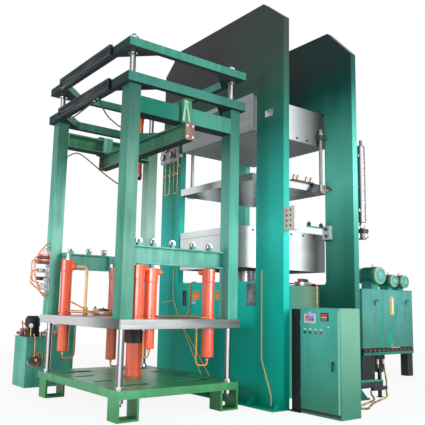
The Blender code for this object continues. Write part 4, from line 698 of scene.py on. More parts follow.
def repeated(piece, moves):
    """The piece and a copy of it, with its own mesh, after each move: a shift or a turn."""
    row = [piece]
    for n, move in enumerate(moves, 2):
        copy = piece.copy()
        copy.data = piece.data.copy()
        copy.name = f"{piece.name}_{n}"
        copy.data.transform(move)
        bpy.context.scene.collection.objects.link(copy)
        row.append(copy)
    return row


def bent(points, bend, steps=6):
    """A pipe's centreline: straight runs with a round bend at each inner point."""
    path = [points[0]]
    for a, b, c in zip(points, points[1:], points[2:]):
        back, on = (a - b).normalized(), (c - b).normalized()
        half = back.angle(on) / 2
        if half > 1.5:
            path.append(b)
            continue
        reach = min(bend / math.tan(half), 0.48 * (a - b).length, 0.48 * (c - b).length)
        centre = b + (back + on).normalized() * (reach / math.cos(half))
        start, end = b + back * reach - centre, b + on * reach - centre
        for n in range(steps + 1):
            path.append(centre + start.slerp(end, n / steps).normalized() * start.length)
    path.append(points[-1])
    return path


def pipe(name, points, radius, bend, material, rings=2):
    """A drawn tube bent round corners."""
    line = lay_line(name, bent(points, bend), radius, material, rings)
    pick(line)
    bpy.ops.object.convert(target="MESH")
    return settle(bpy.context.object)


def hexagon(name, place, axis, across, depth, material, washer=True):
    """A hexagon nut or bolt head with a chamfer, on its washer."""
    r = across / 2 / math.cos(math.pi / 6)
    head = [(r * 0.94, 0.0), (r, depth * 0.06), (r, depth * 0.86), (r * 0.86, depth)]
    pieces = [turned(name, head, place, axis, material, 6)]
    if washer:
        ring = [(r * 1.28, -0.001), (r * 1.28, depth * 0.12), (r * 1.2, depth * 0.16)]
        pieces.append(turned(name + "_washer", ring, place, axis, material, 16))
    return pieces


# Rails of the crown and head frames on the side away from the press: rolled channels, open
# outwards, welded along the frame between its corner plates. They carry the plant's cables.
rail_green = enamel(
    "rail_green", (0.010, 0.024, 0.028), (0.004, 0.010, 0.014), 0.35, size=2.0, soil=0.0
)
for frame_name, body, rail_z in (
    ("crown", "plant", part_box("crown_frame")[0].z),
    ("head", "carriage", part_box("carriage_head_frame")[0].z),
):
    near, far = at(-0.125, 0.50, rail_z - 0.012), at(-0.0655, 2.44, rail_z + 0.168)
    rail = block(f"{frame_name}_rail", near, far, rail_green, 0.003)
    draw_in(rail, LEFT, 0.018, 0.048)
    as_one(f"{frame_name}_cable_rail", [rail], body)

# Cover plates on the hanger beam's ends: flame-cut plate in red oxide primer that has faded,
# each held by four zinc-plated bolts.
primer = enamel("faded_primer", (0.25, 0.155, 0.125), (0.13, 0.085, 0.070), 0.6, soil=0.0)
low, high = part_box("hanger_beam")
for n, (y, out) in enumerate(((low.y + 0.0045, -1), (high.y - 0.0045, 1)), 1):
    flange_top = low.z + 0.279
    plate = block(
        f"hanger_plate_{n}", (loader_corner.x + 0.999, min(y, y + out * 0.014), low.z - 0.002),
        (loader_corner.x + 1.172, max(y, y + out * 0.014), flange_top - 0.001), primer, 0.002,
    )
    heads = []
    for x in (1.03, 1.141):
        for z in (low.z + 0.05, low.z + 0.23):
            heads += hexagon(
                f"hanger_bolt_{n}", (loader_corner.x + x, y + out * 0.014, z), (0, out, 0), 0.024,
                0.013, zinc,
            )
    as_one(f"hanger_end_plate_{n}", [plate], "hanger")
    as_one(f"hanger_end_bolts_{n}", heads, "hanger")

# Roller pins' heads: a zinc-plated nut on each side of every roller's cheeks, drawn up on the
# pin that the roller turns on.
CHEEKS = 0.050  # from a roller's middle to the outside of its cheek
for beam, count in (("front", 5), ("back", 3)):
    nuts = []
    for n in range(1, count + 1):
        low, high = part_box(f"{beam}_roller_{n}")
        middle = (low + high) / 2
        for y, out in ((middle.y - CHEEKS, -1), (middle.y + CHEEKS, 1)):
            nuts += hexagon(
                f"{beam}_pin_nut_{n}", (middle.x, y + out * 0.0035, middle.z), (0, out, 0), 0.030,
                0.016, zinc,
            )
    as_one(f"{beam}_roller_pin_nuts", nuts, f"{beam}_beam")

# Lift cylinders' fittings: eight cap screws round each flange, a port boss on each head, and a
# screwed union with its pipe under each tube but the first. Pipes are drawn steel, sprayed amber.
pipe_amber = enamel("pipe_amber", (0.85, 0.36, 0.10), (0.55, 0.17, 0.05), 0.25, size=3.0, soil=0.0)
pipe_pale = enamel("pipe_pale", (0.90, 0.62, 0.32), (0.72, 0.40, 0.16), 0.25, size=3.0, soil=0.0)
black_oxide = ground_steel("black_oxide", (0.10, 0.10, 0.11), (0.05, 0.05, 0.055), 0.35, (1, 1, 1))
PLATFORM_UNDER, FLANGE_TOP, FLANGE_RING = 1.262, 1.447, 0.1055
FLANGE_SCREW = [
    (0.007, 0.0), (0.008, 0.001), (0.008, 0.011), (0.007, 0.013), (0.004, 0.013), (0.004, 0.006)
]
cylinder_feet = []
for n in range(1, 6):
    low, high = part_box(f"lift_cylinder_{n}")
    x, y = (low.x + high.x) / 2, (low.y + high.y) / 2
    cylinder_feet.append((x, y, low.z))
    ring = []
    for k in range(8):
        angle = math.radians(22.5 + 45 * k)
        across, along = FLANGE_RING * math.cos(angle), FLANGE_RING * math.sin(angle)
        ring.append(Vector((x + across, y + along, FLANGE_TOP)))
    screw = turned(f"flange_screw_{n}", FLANGE_SCREW, ring[0], UP, black_oxide, 12)
    screws = repeated(screw, [Matrix.Translation(place - ring[0]) for place in ring[1:]])
    as_one(f"cylinder_{n}_flange_screws", screws, "carriage")
    toward = Vector((0.80, -0.60, 0)) if n != 3 else Vector((-0.75, 0.66, 0))
    wide, drop = (1.55, 0.110) if n == 4 else (1.0, 0.052)
    boss = turned(
        f"cylinder_{n}_boss",
        [
            (0.044 * wide, 0.0), (0.044 * wide, 0.060), (0.038 * wide, 0.068),
            (0.026 * wide, 0.068), (0.026, 0.084),
        ],
        Vector((x, y, high.z - drop)) + toward * 0.085, toward, red_enamel, 24,
    )
    shoulder = turned(
        f"cylinder_{n}_shoulder", [(0.097, 0.0), (0.100, 0.004), (0.100, 0.012), (0.097, 0.016)],
        (x, y, high.z - 0.216), UP, red_enamel, 32,
    )
    pieces = [boss, shoulder]
    if n > 1:
        pieces.append(
            turned(
                f"cylinder_{n}_low_boss",
                [(0.026, 0.0), (0.026, 0.016), (0.022, 0.020), (0.016, 0.020), (0.016, 0.036)],
                (x, y, low.z + 0.002), DOWN, red_enamel, 20,
            )
        )
    as_one(f"cylinder_{n}_ports", pieces, "carriage")
for n, side in ((2, -0.10), (3, -0.22), (4, 0.22), (5, 0.19)):
    x, y, z = cylinder_feet[n - 1]
    route = [
        Vector((x, y, z - 0.03)), Vector((x, y, z - 0.125)), Vector((x + side, y, z - 0.125)),
        Vector((x + side, y, PLATFORM_UNDER)),
    ]
    tube = pipe(f"cylinder_{n}_return", route, 0.014, 0.085, pipe_amber)
    ends = []
    for name, place, out, depth, washer in (
        (f"return_nut_{n}", route[0] - Vector((0, 0, 0.022)), 1, 0.022, False),
        (f"return_top_nut_{n}", route[-1] + Vector((0, 0, 0.008)), -1, 0.026, True),
    ):
        ends += hexagon(name, place, (0, 0, out), 0.044, depth, zinc, washer)
    as_one(f"cylinder_{n}_return_pipe", [tube], "carriage")
    as_one(f"cylinder_{n}_return_unions", ends, "carriage")

# Feed pipes on the platform: a wide amber tube from the far cylinder's head down to the deck,
# and drawn tubes that run over the slab from cylinder to cylinder and to the valve blocks.
DECK = 1.411


def tube_set(name, bend, *runs):
    """Tubes: each run says its radius, its finish and the places that it passes."""
    return [
        pipe(f"{name}_{n}", [at(*p) for p in course], radius, bend, material)
        for n, (radius, material, *course) in enumerate(runs, 1)
    ]


wide = pipe(
    "wide_feed",
    [
        at(0.370, 2.410, 2.266), at(0.432, 2.364, 2.266), at(0.560, 2.340, 2.262),
        at(0.560, 2.340, 1.432),
    ],
    0.027, 0.110, pipe_pale, 3,
)
flange = turned(
    "wide_feed_flange", [(0.030, 0), (0.052, 0.0), (0.052, 0.018), (0.034, 0.020), (0.032, 0.05)],
    at(0.560, 2.340, DECK + 0.0005), UP, pipe_amber,
)
as_one("wide_feed_pipe", [wide, flange], "carriage")
tubes = tube_set(
    "deck_tube", 0.06,
    (
        0.01425, pipe_amber, (0.34, 2.44, 1.640), (0.42, 2.38, 1.590), (0.60, 2.20, 1.470),
        (0.80, 2.10, 1.437), (1.00, 2.16, 1.437),
    ),
    (
        0.012, pipe_amber, (0.33, 2.40, 1.462), (0.60, 2.08, 1.450), (1.14, 2.56, 1.450),
        (1.25, 2.66, 1.450),
    ),
    (
        0.0105, pipe_amber, (0.25, 2.38, 1.495), (0.30, 1.98, 1.495), (0.80, 1.92, 1.480),
        (1.24, 2.42, 1.480),
    ),
    (
        0.00975, pipe_amber, (0.37, 0.29, 1.437), (0.37, 0.62, 1.437), (0.585, 0.62, 1.437),
        (0.585, 0.29, 1.437),
    ),
    (
        0.00975, pipe_amber, (0.46, 0.20, 1.475), (0.46, 0.90, 1.475), (0.80, 1.00, 1.475),
        (1.00, 1.85, 1.475),
    ),
    (
        0.00975, pipe_amber, (1.66, 0.29, 1.437), (1.66, 0.85, 1.437), (1.25, 1.10, 1.437),
        (1.10, 1.90, 1.437),
    ),
    (0.012, pipe_amber, (1.46, 0.12, 1.437), (1.46, 0.06, 1.437), (1.56, 0.06, 1.437)),
)
as_one("deck_tubes", tubes, "carriage")

# Deck valves: cast spool-valve bodies on ground blocks, with a solenoid at one end, a hand
# wheel at the other and hexagon unions where the tubes screw in.
valve_iron = enamel(
    "valve_iron", (0.10, 0.11, 0.12), (0.035, 0.036, 0.045), 0.4, size=4.0, soil=0.0
)
valve_bare = ground_steel("valve_bare", (0.70, 0.69, 0.68), (0.32, 0.31, 0.33), 0.3, (1, 1, 1))


def spool_valve(name, place, along, length):
    """A valve body lying along an axis, between its coil and its hand wheel."""
    place, along = Vector(place), Vector(along).normalized()
    half = Vector([abs(v) * length / 2 + (1 - abs(v)) * 0.032 for v in along])
    body = block(name, place - half, place + half, valve_iron, 0.006)
    can = turned(
        name + "_coil",
        [
            (0.020, 0.0), (0.028, 0.004), (0.028, 0.056), (0.024, 0.062), (0.011, 0.062),
            (0.011, 0.078),
        ],
        place + along * length / 2, along, black_oxide, 20,
    )
    wheel = turned(
        name + "_wheel",
        [
            (0.008, 0.0), (0.008, 0.030), (0.030, 0.034), (0.034, 0.038), (0.034, 0.046),
            (0.029, 0.050), (0.012, 0.044),
        ],
        place - along * length / 2, -along, red_enamel, 20,
    )
    return [body, can, wheel]


for n, (x, y) in enumerate(((0.88, 2.30), (1.05, 2.02), (0.62, 0.80)), 1):
    seat_block = block(
        f"valve_block_{n}", at(x - 0.09, y - 0.06, DECK + 0.0004),
        at(x + 0.09, y + 0.06, DECK + 0.055), valve_bare, 0.005,
    )
    rest = spool_valve(f"deck_valve_{n}", at(x, y, DECK + 0.088), RIGHT, 0.11)
    for k in (-1, 1):
        rest += hexagon(
            f"deck_union_{n}", at(x + 0.05 * k, y - 0.060, DECK + 0.028), NEAR, 0.034, 0.030, zinc,
            False,
        )
    as_one(f"deck_valve_block_{n}", [seat_block], "carriage")
    as_one(f"deck_valve_{n}", rest, "carriage")

# Valve rack on the far post: a plate with a stacked valve, a dosing valve and a pressure dial,
# wrapped in small copper pipes that come down the post and go back into it.
copper = Finish("old_copper")
stain = copper.noise(24.0, 4.0)
copper = copper.wear(
    copper.mix((0.62, 0.20, 0.12), (0.85, 0.42, 0.25), copper.between(stain, 0.4, 0.6)),
    0.28 + stain * 0.2, stain, 0.0003, 0.9, 0.001,
)
box_grey = enamel("box_grey", (0.62, 0.64, 0.65), (0.48, 0.50, 0.51), 0.35, soil=0.0)
rack_plate = block("rack_plate", at(-0.008, 2.672, 1.82), at(0.0065, 2.888, 2.52), box_grey, 0.003)
stack = []
for k in range(4):
    z = 2.30 + 0.045 * k
    stack.append(
        block(
            f"rack_stack_{k}", at(-0.20, 2.675, z), at(-0.009, 2.80, z + 0.040),
            red_enamel if k % 2 else valve_iron, 0.004,
        )
    )
pale_block = block(
    "rack_pale", at(-0.205, 2.665, 2.145), at(-0.009, 2.79, 2.225), valve_bare, 0.006
)
dosing = spool_valve("rack_valve", at(-0.10, 2.72, 2.04), LEFT, 0.12)


def set_along(piece, right, up, out, place):
    """Turns a piece from X, Y and Z to these directions and puts it in its place."""
    piece.data.transform(Matrix((right, up, out)).transposed().to_4x4())
    piece.data.transform(Matrix.Translation(place))


def dial(name, place, facing, radius, marks=9):
    """A pressure gauge: case with a rolled rim, a white face, marks round it and a needle."""
    place, facing = Vector(place), Vector(facing).normalized()
    case = turned(
        name,
        [
            (radius * 0.92, 0.0), (radius, radius * 0.08), (radius, radius * 0.55),
            (radius * 0.97, radius * 0.60), (radius * 0.86, radius * 0.60),
            (radius * 0.86, radius * 0.52),
        ],
        place, facing, black_oxide, 28,
    )
    face = turned(
        name + "_face", [(radius * 0.86, 0.0), (radius * 0.86, radius * 0.02)],
        place + facing * radius * 0.515, facing, dial_white, 28,
    )
    side = facing.cross(Vector(UP)).normalized()
    marks_made = []
    for k in range(marks):
        angle = math.radians(225 - 270 * k / (marks - 1))
        ray = side * math.cos(angle) + Vector(UP) * math.sin(angle)
        spot = place + facing * radius * 0.537 + ray * radius * 0.70
        mark = block(
            f"{name}_mark", (-0.02 * radius, -0.12 * radius, 0),
            (0.02 * radius, 0.12 * radius, 0.004 * radius), dial_black, 0,
        )
        across = ray.cross(facing)
        set_along(mark, across, ray, facing, spot)
        marks_made.append(mark)
    ray = (side * -0.5 + Vector(UP) * 0.86).normalized()
    needle = block(
        f"{name}_needle", (-0.02 * radius, -0.15 * radius, 0),
        (0.02 * radius, 0.62 * radius, 0.01 * radius), dial_black, 0,
    )
    set_along(needle, ray.cross(facing), ray, facing, place + facing * radius * 0.55)
    return [case, face, *marks_made, needle]


def tinted(name, first, second, scale, rough, depth=0.0):
    """Plain paint, plastic or film, faintly clouded from one tint to the other."""
    finish = Finish(name)
    cloud = finish.noise(scale)
    height = cloud if depth else None
    return finish.wear(finish.mix(first, second, cloud), rough, height, depth)


dial_white = tinted("dial_white", (0.78, 0.78, 0.76), (0.88, 0.88, 0.87), 12.0, 0.25)
dial_black = tinted("dial_black", (0.012, 0.012, 0.014), (0.03, 0.03, 0.032), 40.0, 0.5)
rack_dial = dial("rack_dial", at(-0.105, 2.735, 1.90), (-0.35, -1, 0), 0.058)
stem = pipe(
    "rack_dial_stem", [at(-0.105, 2.75, 1.90), at(-0.105, 2.78, 1.90), at(-0.008, 2.78, 1.90)],
    0.009, 0.02, valve_bare,
)
small_pipes = tube_set(
    "rack_pipe", 0.05,
    (
        0.012, copper, (-0.004, 2.74, 2.70), (-0.07, 2.74, 2.64), (-0.18, 2.74, 2.50),
        (-0.19, 2.74, 2.47),
    ),
    (0.010, copper, (-0.004, 2.70, 2.61), (-0.10, 2.70, 2.56), (-0.14, 2.70, 2.47)),
    (
        0.013, copper, (-0.19, 2.72, 2.36), (-0.318, 2.72, 2.36), (-0.318, 2.72, 1.96),
        (-0.19, 2.72, 1.86), (-0.004, 2.72, 1.67),
    ),
    (
        0.014, copper, (-0.19, 2.70, 2.33), (-0.270, 2.70, 2.33), (-0.270, 2.70, 2.18),
        (-0.225, 2.70, 1.98), (-0.14, 2.70, 1.80), (-0.004, 2.70, 1.74),
    ),
    (
        0.011, copper, (-0.19, 2.78, 2.42), (-0.24, 2.78, 2.42), (-0.24, 2.78, 2.10),
        (-0.15, 2.78, 2.04),
    ),
    (
        0.011, copper, (-0.20, 2.73, 2.19), (-0.296, 2.73, 2.19), (-0.296, 2.73, 2.00),
        (-0.16, 2.73, 1.96),
    ),
)
unions = []
for x, z in ((-0.318, 2.30), (-0.318, 2.02), (-0.270, 2.24)):
    unions += hexagon("rack_union", at(x, 2.71, z), UP, 0.030, 0.026, zinc, False)
as_one("rack_plate", [rack_plate], "carriage")
as_one("rack_valve_stack", stack, "carriage")
rack_caps = [
    turned(
        f"rack_cap_{k}", [(0.026, 0), (0.030, 0.004), (0.030, 0.030), (0.024, 0.036)],
        at(-0.175 + 0.055 * k, 2.665, 2.185), NEAR, (box_grey, black_oxide, box_grey)[k], 18,
    )
    for k in range(3)
]
rack_caps.append(
    turned(
        "rack_ball", [(0.020, 0), (0.040, 0.012), (0.046, 0.036), (0.040, 0.060), (0.020, 0.072)],
        at(-0.075, 2.66, 1.985), (0, -0.4, 1), box_grey, 20,
    )
)
as_one("rack_caps", rack_caps, "carriage")
as_one("rack_pale_block", [pale_block], "carriage")
as_one("rack_dosing_valve", dosing, "carriage")
as_one("rack_dial", rack_dial, "carriage")
as_one("rack_dial_stem", [stem], "carriage")
as_one("rack_pipes", small_pipes, "carriage")
as_one("rack_unions", unions, "carriage")

# Clamps of the hanger beam: two bolts with nuts through each claw's back, which hold the beam
# to its rails.
for n, (y, out) in enumerate(((0.035, -1), (2.898, 1)), 1):
    heads = []
    for z in (4.60, 4.74):
        heads += hexagon(
            f"clamp_bolt_{n}", at(1.022, y + out * 0.030, z), (0, out, 0), 0.036, 0.020, zinc
        )
    as_one(f"clamp_bolts_{n}", heads, "hanger")

# Frame plates: two flame-cut steel plates, seven metres high, that carry the pressing force round
# their windows. Deep green gloss enamel with painted light and shade by height: a painted bright
# band at mid height and painted shade, dark and purplish, towards the top.

PLATE_TOP = 7.1


def plate_painted_light(name, turns):
    """Gloss enamel with painted light and shade that follow the height: turns are (height, colour)
    from the floor up.
    """
    finish = Finish(name)
    cloud = finish.noise(0.55, 3.0)
    streak = finish.noise(4.0, 4.0, (1, 1, 0.08))
    grain = finish.noise(110.0, 2.0)
    x, y, z = finish.axes()
    height = z * (1 / PLATE_TOP) + (cloud - 0.5) * 0.10 + (streak - 0.5) * 0.05
    colour = finish.node(
        "ShaderNodeValToRGB", {"stops": [(at_z / PLATE_TOP, tone) for at_z, tone in turns]},
        {"Fac": height},
    )
    # Painted shade: a dark purplish band high on the plate, between these depths in Y.
    side = finish.between(y, at(0, 0.3, 0).y, at(0, 1.6, 0).y)
    high = finish.between(z, 5.3, 6.2)
    colour = finish.mix(colour, (0.030, 0.022, 0.028), side * high * 0.8)
    chips = finish.between(finish.noise(9.0, 6.0, rough=0.72), 0.72, 0.74)
    colour = finish.mix(colour, (0.10, 0.15, 0.13), chips * 0.7)
    return finish.wear(
        colour, 0.30 + (1 - cloud) * 0.08 + chips * 0.3, grain * 0.5 - chips, 0.0008, corner=0.005,
        shine=0.12,
    )


near_plate = plate_painted_light(
    "plate_green_1",
    [
        (0.1, (0.001, 0.35, 0.255)), (1.7, (0.006, 0.48, 0.40)), (2.9, (0.042, 0.60, 0.53)),
        (4.0, (0.032, 0.35, 0.285)), (4.85, (0.017, 0.165, 0.130)), (5.5, (0.024, 0.105, 0.066)),
        (6.1, (0.034, 0.062, 0.048)), (PLATE_TOP, (0.030, 0.044, 0.040)),
    ],
)
far_plate = plate_painted_light(
    "plate_green_2",
    [
        (1.0, (0.012, 0.10, 0.080)), (1.8, (0.020, 0.15, 0.118)), (2.9, (0.048, 0.30, 0.225)),
        (4.0, (0.180, 0.74, 0.59)), (5.2, (0.060, 0.36, 0.285)), (5.9, (0.012, 0.115, 0.095)),
        (6.4, (0.012, 0.062, 0.058)), (PLATE_TOP, (0.012, 0.050, 0.046)),
    ],
)
paint(["frame_plate_1"], near_plate)
paint(["frame_plate_2"], far_plate)

# Upper block, middle platen and lower table: milled steel slabs, with painted reflections in bright
# and dark bands along their sides and undersides, and dark painted shade on their undersides.

THREAD_WAVES = 260.0  # radians of thread on each metre of rod


def painted_reflection_slab(name, body, front, end, below, rods=None):
    """Milled steel with painted reflection and shade: front, end and below are (place, brightness)
    along the long side, the short side and the underside, which is measured slantwise. Above rods,
    the piece is threaded rod."""
    finish = Finish(name)
    mill = finish.noise(30.0, 3.0, (1, 1, 8.0))
    broad = finish.noise(1.6, 3.0, (1, 1, 4.0))
    x, y, z = finish.axes()
    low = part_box(body)[0]
    corner = at(0, 0, 0)
    drift = (broad - 0.5) * 0.06

    def along(value, stops):
        start, end = stops[0][0], stops[-1][0]
        tones = [((place - start) / (end - start), (tone, tone, tone)) for place, tone in stops]
        share = (value - start) * (1 / (end - start)) + drift
        return finish.node("ShaderNodeValToRGB", {"stops": tones}, {"Fac": share})

    right, back = x - corner.x, y - corner.y
    # Painted reflection: bands of brightness along the long side and the short side.
    is_front = finish.between(x, low.x + 0.004, low.x + 0.012)
    tone = finish.mix(along(back, end), along(right, front), is_front) + (mill - 0.5) * 0.12
    # Painted shade and reflection on the underside.
    is_below = finish.between(z, low.z + 0.006, low.z + 0.001)
    tone = finish.mix(tone, along(right * 0.754 - back * 0.656, below), is_below)
    if rods:
        wave = finish.maths("SINE", z * THREAD_WAVES)
        thread = finish.between(wave, -0.3, 0.3, 0.16, 0.62)
        tone = finish.mix(tone, thread, finish.between(z, rods, rods + 0.002))
    return finish.wear(
        finish.mix((0.004, 0.008, 0.009), (0.93, 0.95, 0.96), tone),
        0.30 + mill * 0.12 + is_below * 0.4, mill, 0.0004, 0.45 - is_below * 0.45, 0.003, 0.2,
    )


upper_steel = painted_reflection_slab(
    "upper_steel", "upper_block",
    [(3.55, 0.72), (3.63, 0.66), (3.85, 0.46), (4.07, 0.28), (4.30, 0.16), (4.42, 0.12)],
    [(0.1, 0.38), (1.0, 0.47), (2.6, 0.43)], [(0.5, 0.32), (1.2, 0.21), (2.0, 0.26), (3.0, 0.17)],
)
middle_steel = painted_reflection_slab(
    "middle_steel", "middle_platen", [(2.6, 0.90), (4.7, 0.90)],
    [
        (0.91, 0.16), (1.09, 0.62), (1.28, 0.52), (1.47, 0.20), (1.67, 0.34), (1.87, 0.74),
        (2.08, 1.0),
    ],
    [
        (0.45, 0.09), (0.72, 0.10), (0.93, 1.0), (1.10, 0.62), (1.25, 0.14), (1.60, 0.16),
        (1.82, 0.80), (1.96, 0.12), (2.4, 0.80), (2.8, 0.16),
    ],
    3.980,
)
lower_steel = painted_reflection_slab(
    "lower_steel", "lower_table",
    [
        (2.55, 0.34), (2.69, 0.58), (2.95, 1.0), (3.80, 1.0), (3.94, 0.98), (4.08, 0.92),
        (4.22, 0.60), (4.36, 0.27), (4.48, 0.12),
    ],
    [(0.44, 0.20), (0.66, 0.32), (0.84, 0.56), (1.06, 0.70), (1.5, 0.92), (2.03, 1.0)],
    [(0.5, 0.20), (2.5, 0.10)],
)
paint(["upper_block"], upper_steel)
paint(["middle_platen"], middle_steel)
paint(["lower_table"], lower_steel)

# Press bed: a welded and stress-relieved bed between the plates' feet, in the press's green, with a
# greyer painted sheen towards its end at the far plate.
press_green = enamel("press_green", (0.010, 0.36, 0.26), (0.006, 0.24, 0.17), 0.28, size=0.8)
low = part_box("press_bed")[0]
# Painted sheen: a greyer tint along X towards the far plate.
bed_green_with_sheen = enamel(
    "bed_green_with_sheen", (0.024, 0.30, 0.23), (0.016, 0.20, 0.15), 0.28, size=0.8,
    faces=[(0, low.x + 0.70, low.x + 1.50, (0.175, 0.265, 0.175))],
)
paint(["press_bed"], bed_green_with_sheen)

# Main ram: a ground steel plunger that carries the table, in a dark steel tone.
ram_steel = ground_steel("ram_steel", (0.30, 0.31, 0.33), (0.12, 0.12, 0.14), 0.22)
paint(["main_ram"], ram_steel)

# Gauge box and button box: folded sheet boxes in light grey stove enamel, screwed to the press
# where whoever loads the daylights can reach and read them.
paint(["gauge_box", "button_box"], box_grey)

# Accumulator: a drawn and polished steel bottle of pressed gas over oil, held upright to the frame
# plate by two clips, with bands of painted reflection along it.
low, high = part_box("accumulator")
BOTTLE_RADIUS = 0.0775
axis_x, axis_y = high.x - BOTTLE_RADIUS, (low.y + high.y) / 2
bottle_chrome = painted_reflection_bar(
    "bottle_chrome", Vector((axis_x, axis_y, 0)), BOTTLE_RADIUS, (0.85, 0.86, 0.88),
    (0.22, 0.22, 0.24),
)
paint(["accumulator"], bottle_chrome)

# Control cabinet: a folded sheet cabinet with one door on two hinges and a turning handle, in the
# press's green, with painted shade that darkens it towards the floor and a darker painted tint on
# its side.
side_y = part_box("control_cabinet")[0].y
# Painted shade: a darker tint on the side face, and darker towards the floor.
cabinet_green = enamel(
    "cabinet_green", (0.070, 0.46, 0.38), (0.055, 0.39, 0.32), 0.3, size=1.4, soil=0.0, shine=0.25,
    faces=[(1, side_y + 0.006, side_y + 0.002, (0.150, 0.33, 0.235))],
    height_shade=(1.75, 0.15, 0.88, (0.028, 0.155, 0.096)),
)
paint(["control_cabinet", "cabinet_door"], cabinet_green)
handle_green = enamel("handle_green", (0.006, 0.085, 0.070), (0.003, 0.050, 0.040), 0.3, soil=0.0)
paint(["door_handle"], handle_green)

# Push buttons: two green and two red caps of moulded plastic, glossy, that a hand presses in
# against a spring. The cable duct beside the cabinet is black sheet.
lens_green = tinted("lens_green", (0.004, 0.05, 0.03), (0.01, 0.10, 0.06), 60.0, 0.2)
lens_red = tinted("lens_red", (0.45, 0.012, 0.012), (0.68, 0.03, 0.025), 60.0, 0.2)
paint(["push_button_1", "push_button_2"], lens_green)
paint(["push_button_3", "push_button_4"], lens_red)
paint(["cable_duct"], black_enamel)

# Oil tank and cover: welded sheet in pale green enamel, with painted shade that darkens it towards
# the floor, and two wet runs of oil down its front from the joint of the cover.
# Painted shade: darker towards the floor.
tank_green = enamel(
    "tank_green", (0.100, 0.36, 0.33), (0.062, 0.27, 0.24), 0.33, size=1.3, soil=0.0, shine=0.2,
    height_shade=(2.3, 0.75, 0.9, (0.042, 0.185, 0.135)),
    runs=[
        ((7.745, 1.914), (7.679, 0.749), 0.012, 0.034),
        ((8.306, 1.709), (7.965, 0.718), 0.02, 0.095),
    ],
)
paint(["oil_tank", "tank_cover"], tank_green)

# Pump stand: a frame of channel iron on feet in near-black green, which carries the tank and
# lets the hoses out at its underside.
stand_green = enamel("stand_green", (0.009, 0.016, 0.016), (0.005, 0.007, 0.009), 0.4)
paint(["pump_stand"], stand_green)

# Pump motors: three foot-mounted electric motors on the cover, one big and two small, in their
# maker's own green.
motor_paint = enamel(
    "motor_paint", (0.034, 0.38, 0.30), (0.018, 0.25, 0.19), 0.3, size=2.0, soil=0.0
)
paint([f"pump_motor_{n}" for n in range(1, 4)], motor_paint)

# Feed unit: a small welded oil tank with an upright motor on its tower, behind the loader, in
# a brighter green and black.
feed_green = enamel("feed_green", (0.090, 0.44, 0.33), (0.048, 0.31, 0.22), 0.35, soil=0.1)
paint(["feed_unit_tank"], feed_green)
paint(["feed_unit_motor"], black_enamel)

# Metals and plastics of the press's small fittings: brass for the unions, a faded grey for the
# covers and a yellow for the bezels.
brass = ground_steel("brass", (0.86, 0.62, 0.26), (0.58, 0.36, 0.12), 0.25, (1, 1, 1))
cover_grey = Finish("cover_grey")
fade = cover_grey.noise(4.0, 3.0)
cover_grey = cover_grey.wear(
    cover_grey.mix((0.10, 0.16, 0.16), (0.28, 0.30, 0.34), cover_grey.between(fade, 0.38, 0.62)),
    0.4, fade, 0.0005,
)
bezel_yellow = tinted("bezel_yellow", (0.70, 0.45, 0.06), (0.88, 0.66, 0.16), 50.0, 0.35)

# Gauges: three steam dials and a switch with its lamp on the grey box, over two loops of
# brass pipe that let the steam's water stand before the dials, with a trap beside them.
low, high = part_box("gauge_box")
panel_x = low.x
dials = []
for n, (y, z) in enumerate(((3.132, 4.772), (2.842, 4.786), (2.990, 4.930)), 1):
    dials += dial(f"steam_dial_{n}", (panel_x + 0.002, at(0, y, 0).y, z), LEFT, 0.070)
as_one("steam_dials", dials, "plant")
switch_plate = block(
    "switch_plate", (panel_x - 0.006, low.y + 0.012, low.z + 0.05),
    (panel_x + 0.001, low.y + 0.080, high.z - 0.12), valve_iron, 0.002,
)
knobs = [
    turned(
        f"switch_knob_{n}",
        [(0.026, 0), (0.026, 0.006), (0.020, 0.010), (0.018, 0.030), (0.014, 0.034)],
        (panel_x - 0.006, low.y + 0.046, z), LEFT, material, 20,
    )
    for n, (z, material) in enumerate(((low.z + 0.10, black_oxide), (low.z + 0.20, red_enamel)), 1)
]
as_one("gauge_box_switch", [switch_plate, *knobs], "plant")
LOOP_FOOT, CROSS_HEIGHT, LOOP_OUT = 3.935, 4.330, 0.047
COCK_STEPS = [
    (0.009, 0), (0.012, 0.010), (0.012, 0.024), (0.020, 0.028), (0.020, 0.034), (0.014, 0.038)
]
loops = []
loop_unions = []
bottom, loop_x = low.z, panel_x + LOOP_OUT
for n, (y, width) in enumerate(((3.105, 0.165), (2.785, 0.140))):
    far_y, near_y = at(0, y, 0).y, at(0, y - width, 0).y
    course = [
        Vector((loop_x, *spot))
        for spot in (
            (far_y, bottom + 0.004), (far_y, LOOP_FOOT), (near_y, LOOP_FOOT),
            (near_y, bottom + 0.004),
        )
    ]
    loops.append(pipe(f"steam_loop_{n}", course, 0.009, 0.03, brass))
    for leg_y in (far_y, near_y):
        top, cross = (loop_x, leg_y, bottom - 0.002), (loop_x, leg_y, CROSS_HEIGHT)
        loop_unions += hexagon("loop_union", top, DOWN, 0.030, 0.022, zinc, False)
        loop_unions += hexagon("loop_cross", cross, UP, 0.034, 0.036, brass, False)
        cock_place = (loop_x - 0.010, leg_y, CROSS_HEIGHT + 0.018)
        loop_unions.append(turned("loop_cock", COCK_STEPS, cock_place, LEFT, copper, 12))
drip = pipe(
    "drip_pipe",
    [
        at(2.640, 2.6425, 4.800), at(2.640, 2.622, 4.790), at(2.640, 2.622, 4.560),
        at(2.6915, 2.600, 4.500),
    ],
    0.011, 0.03, pipe_pale,
)
trap = [
    turned(
        "steam_trap", [(0.030, 0), (0.036, 0.006), (0.036, 0.070), (0.030, 0.076)],
        at(2.6915, 2.545, 4.720), LEFT, box_grey, 18,
    ),
    *hexagon("trap_nut", at(2.6165, 2.545, 4.720), LEFT, 0.040, 0.020, red_enamel, False),
]
as_one("steam_trap", trap, "plant")
loops.append(drip)
as_one("steam_loops", loops, "plant")
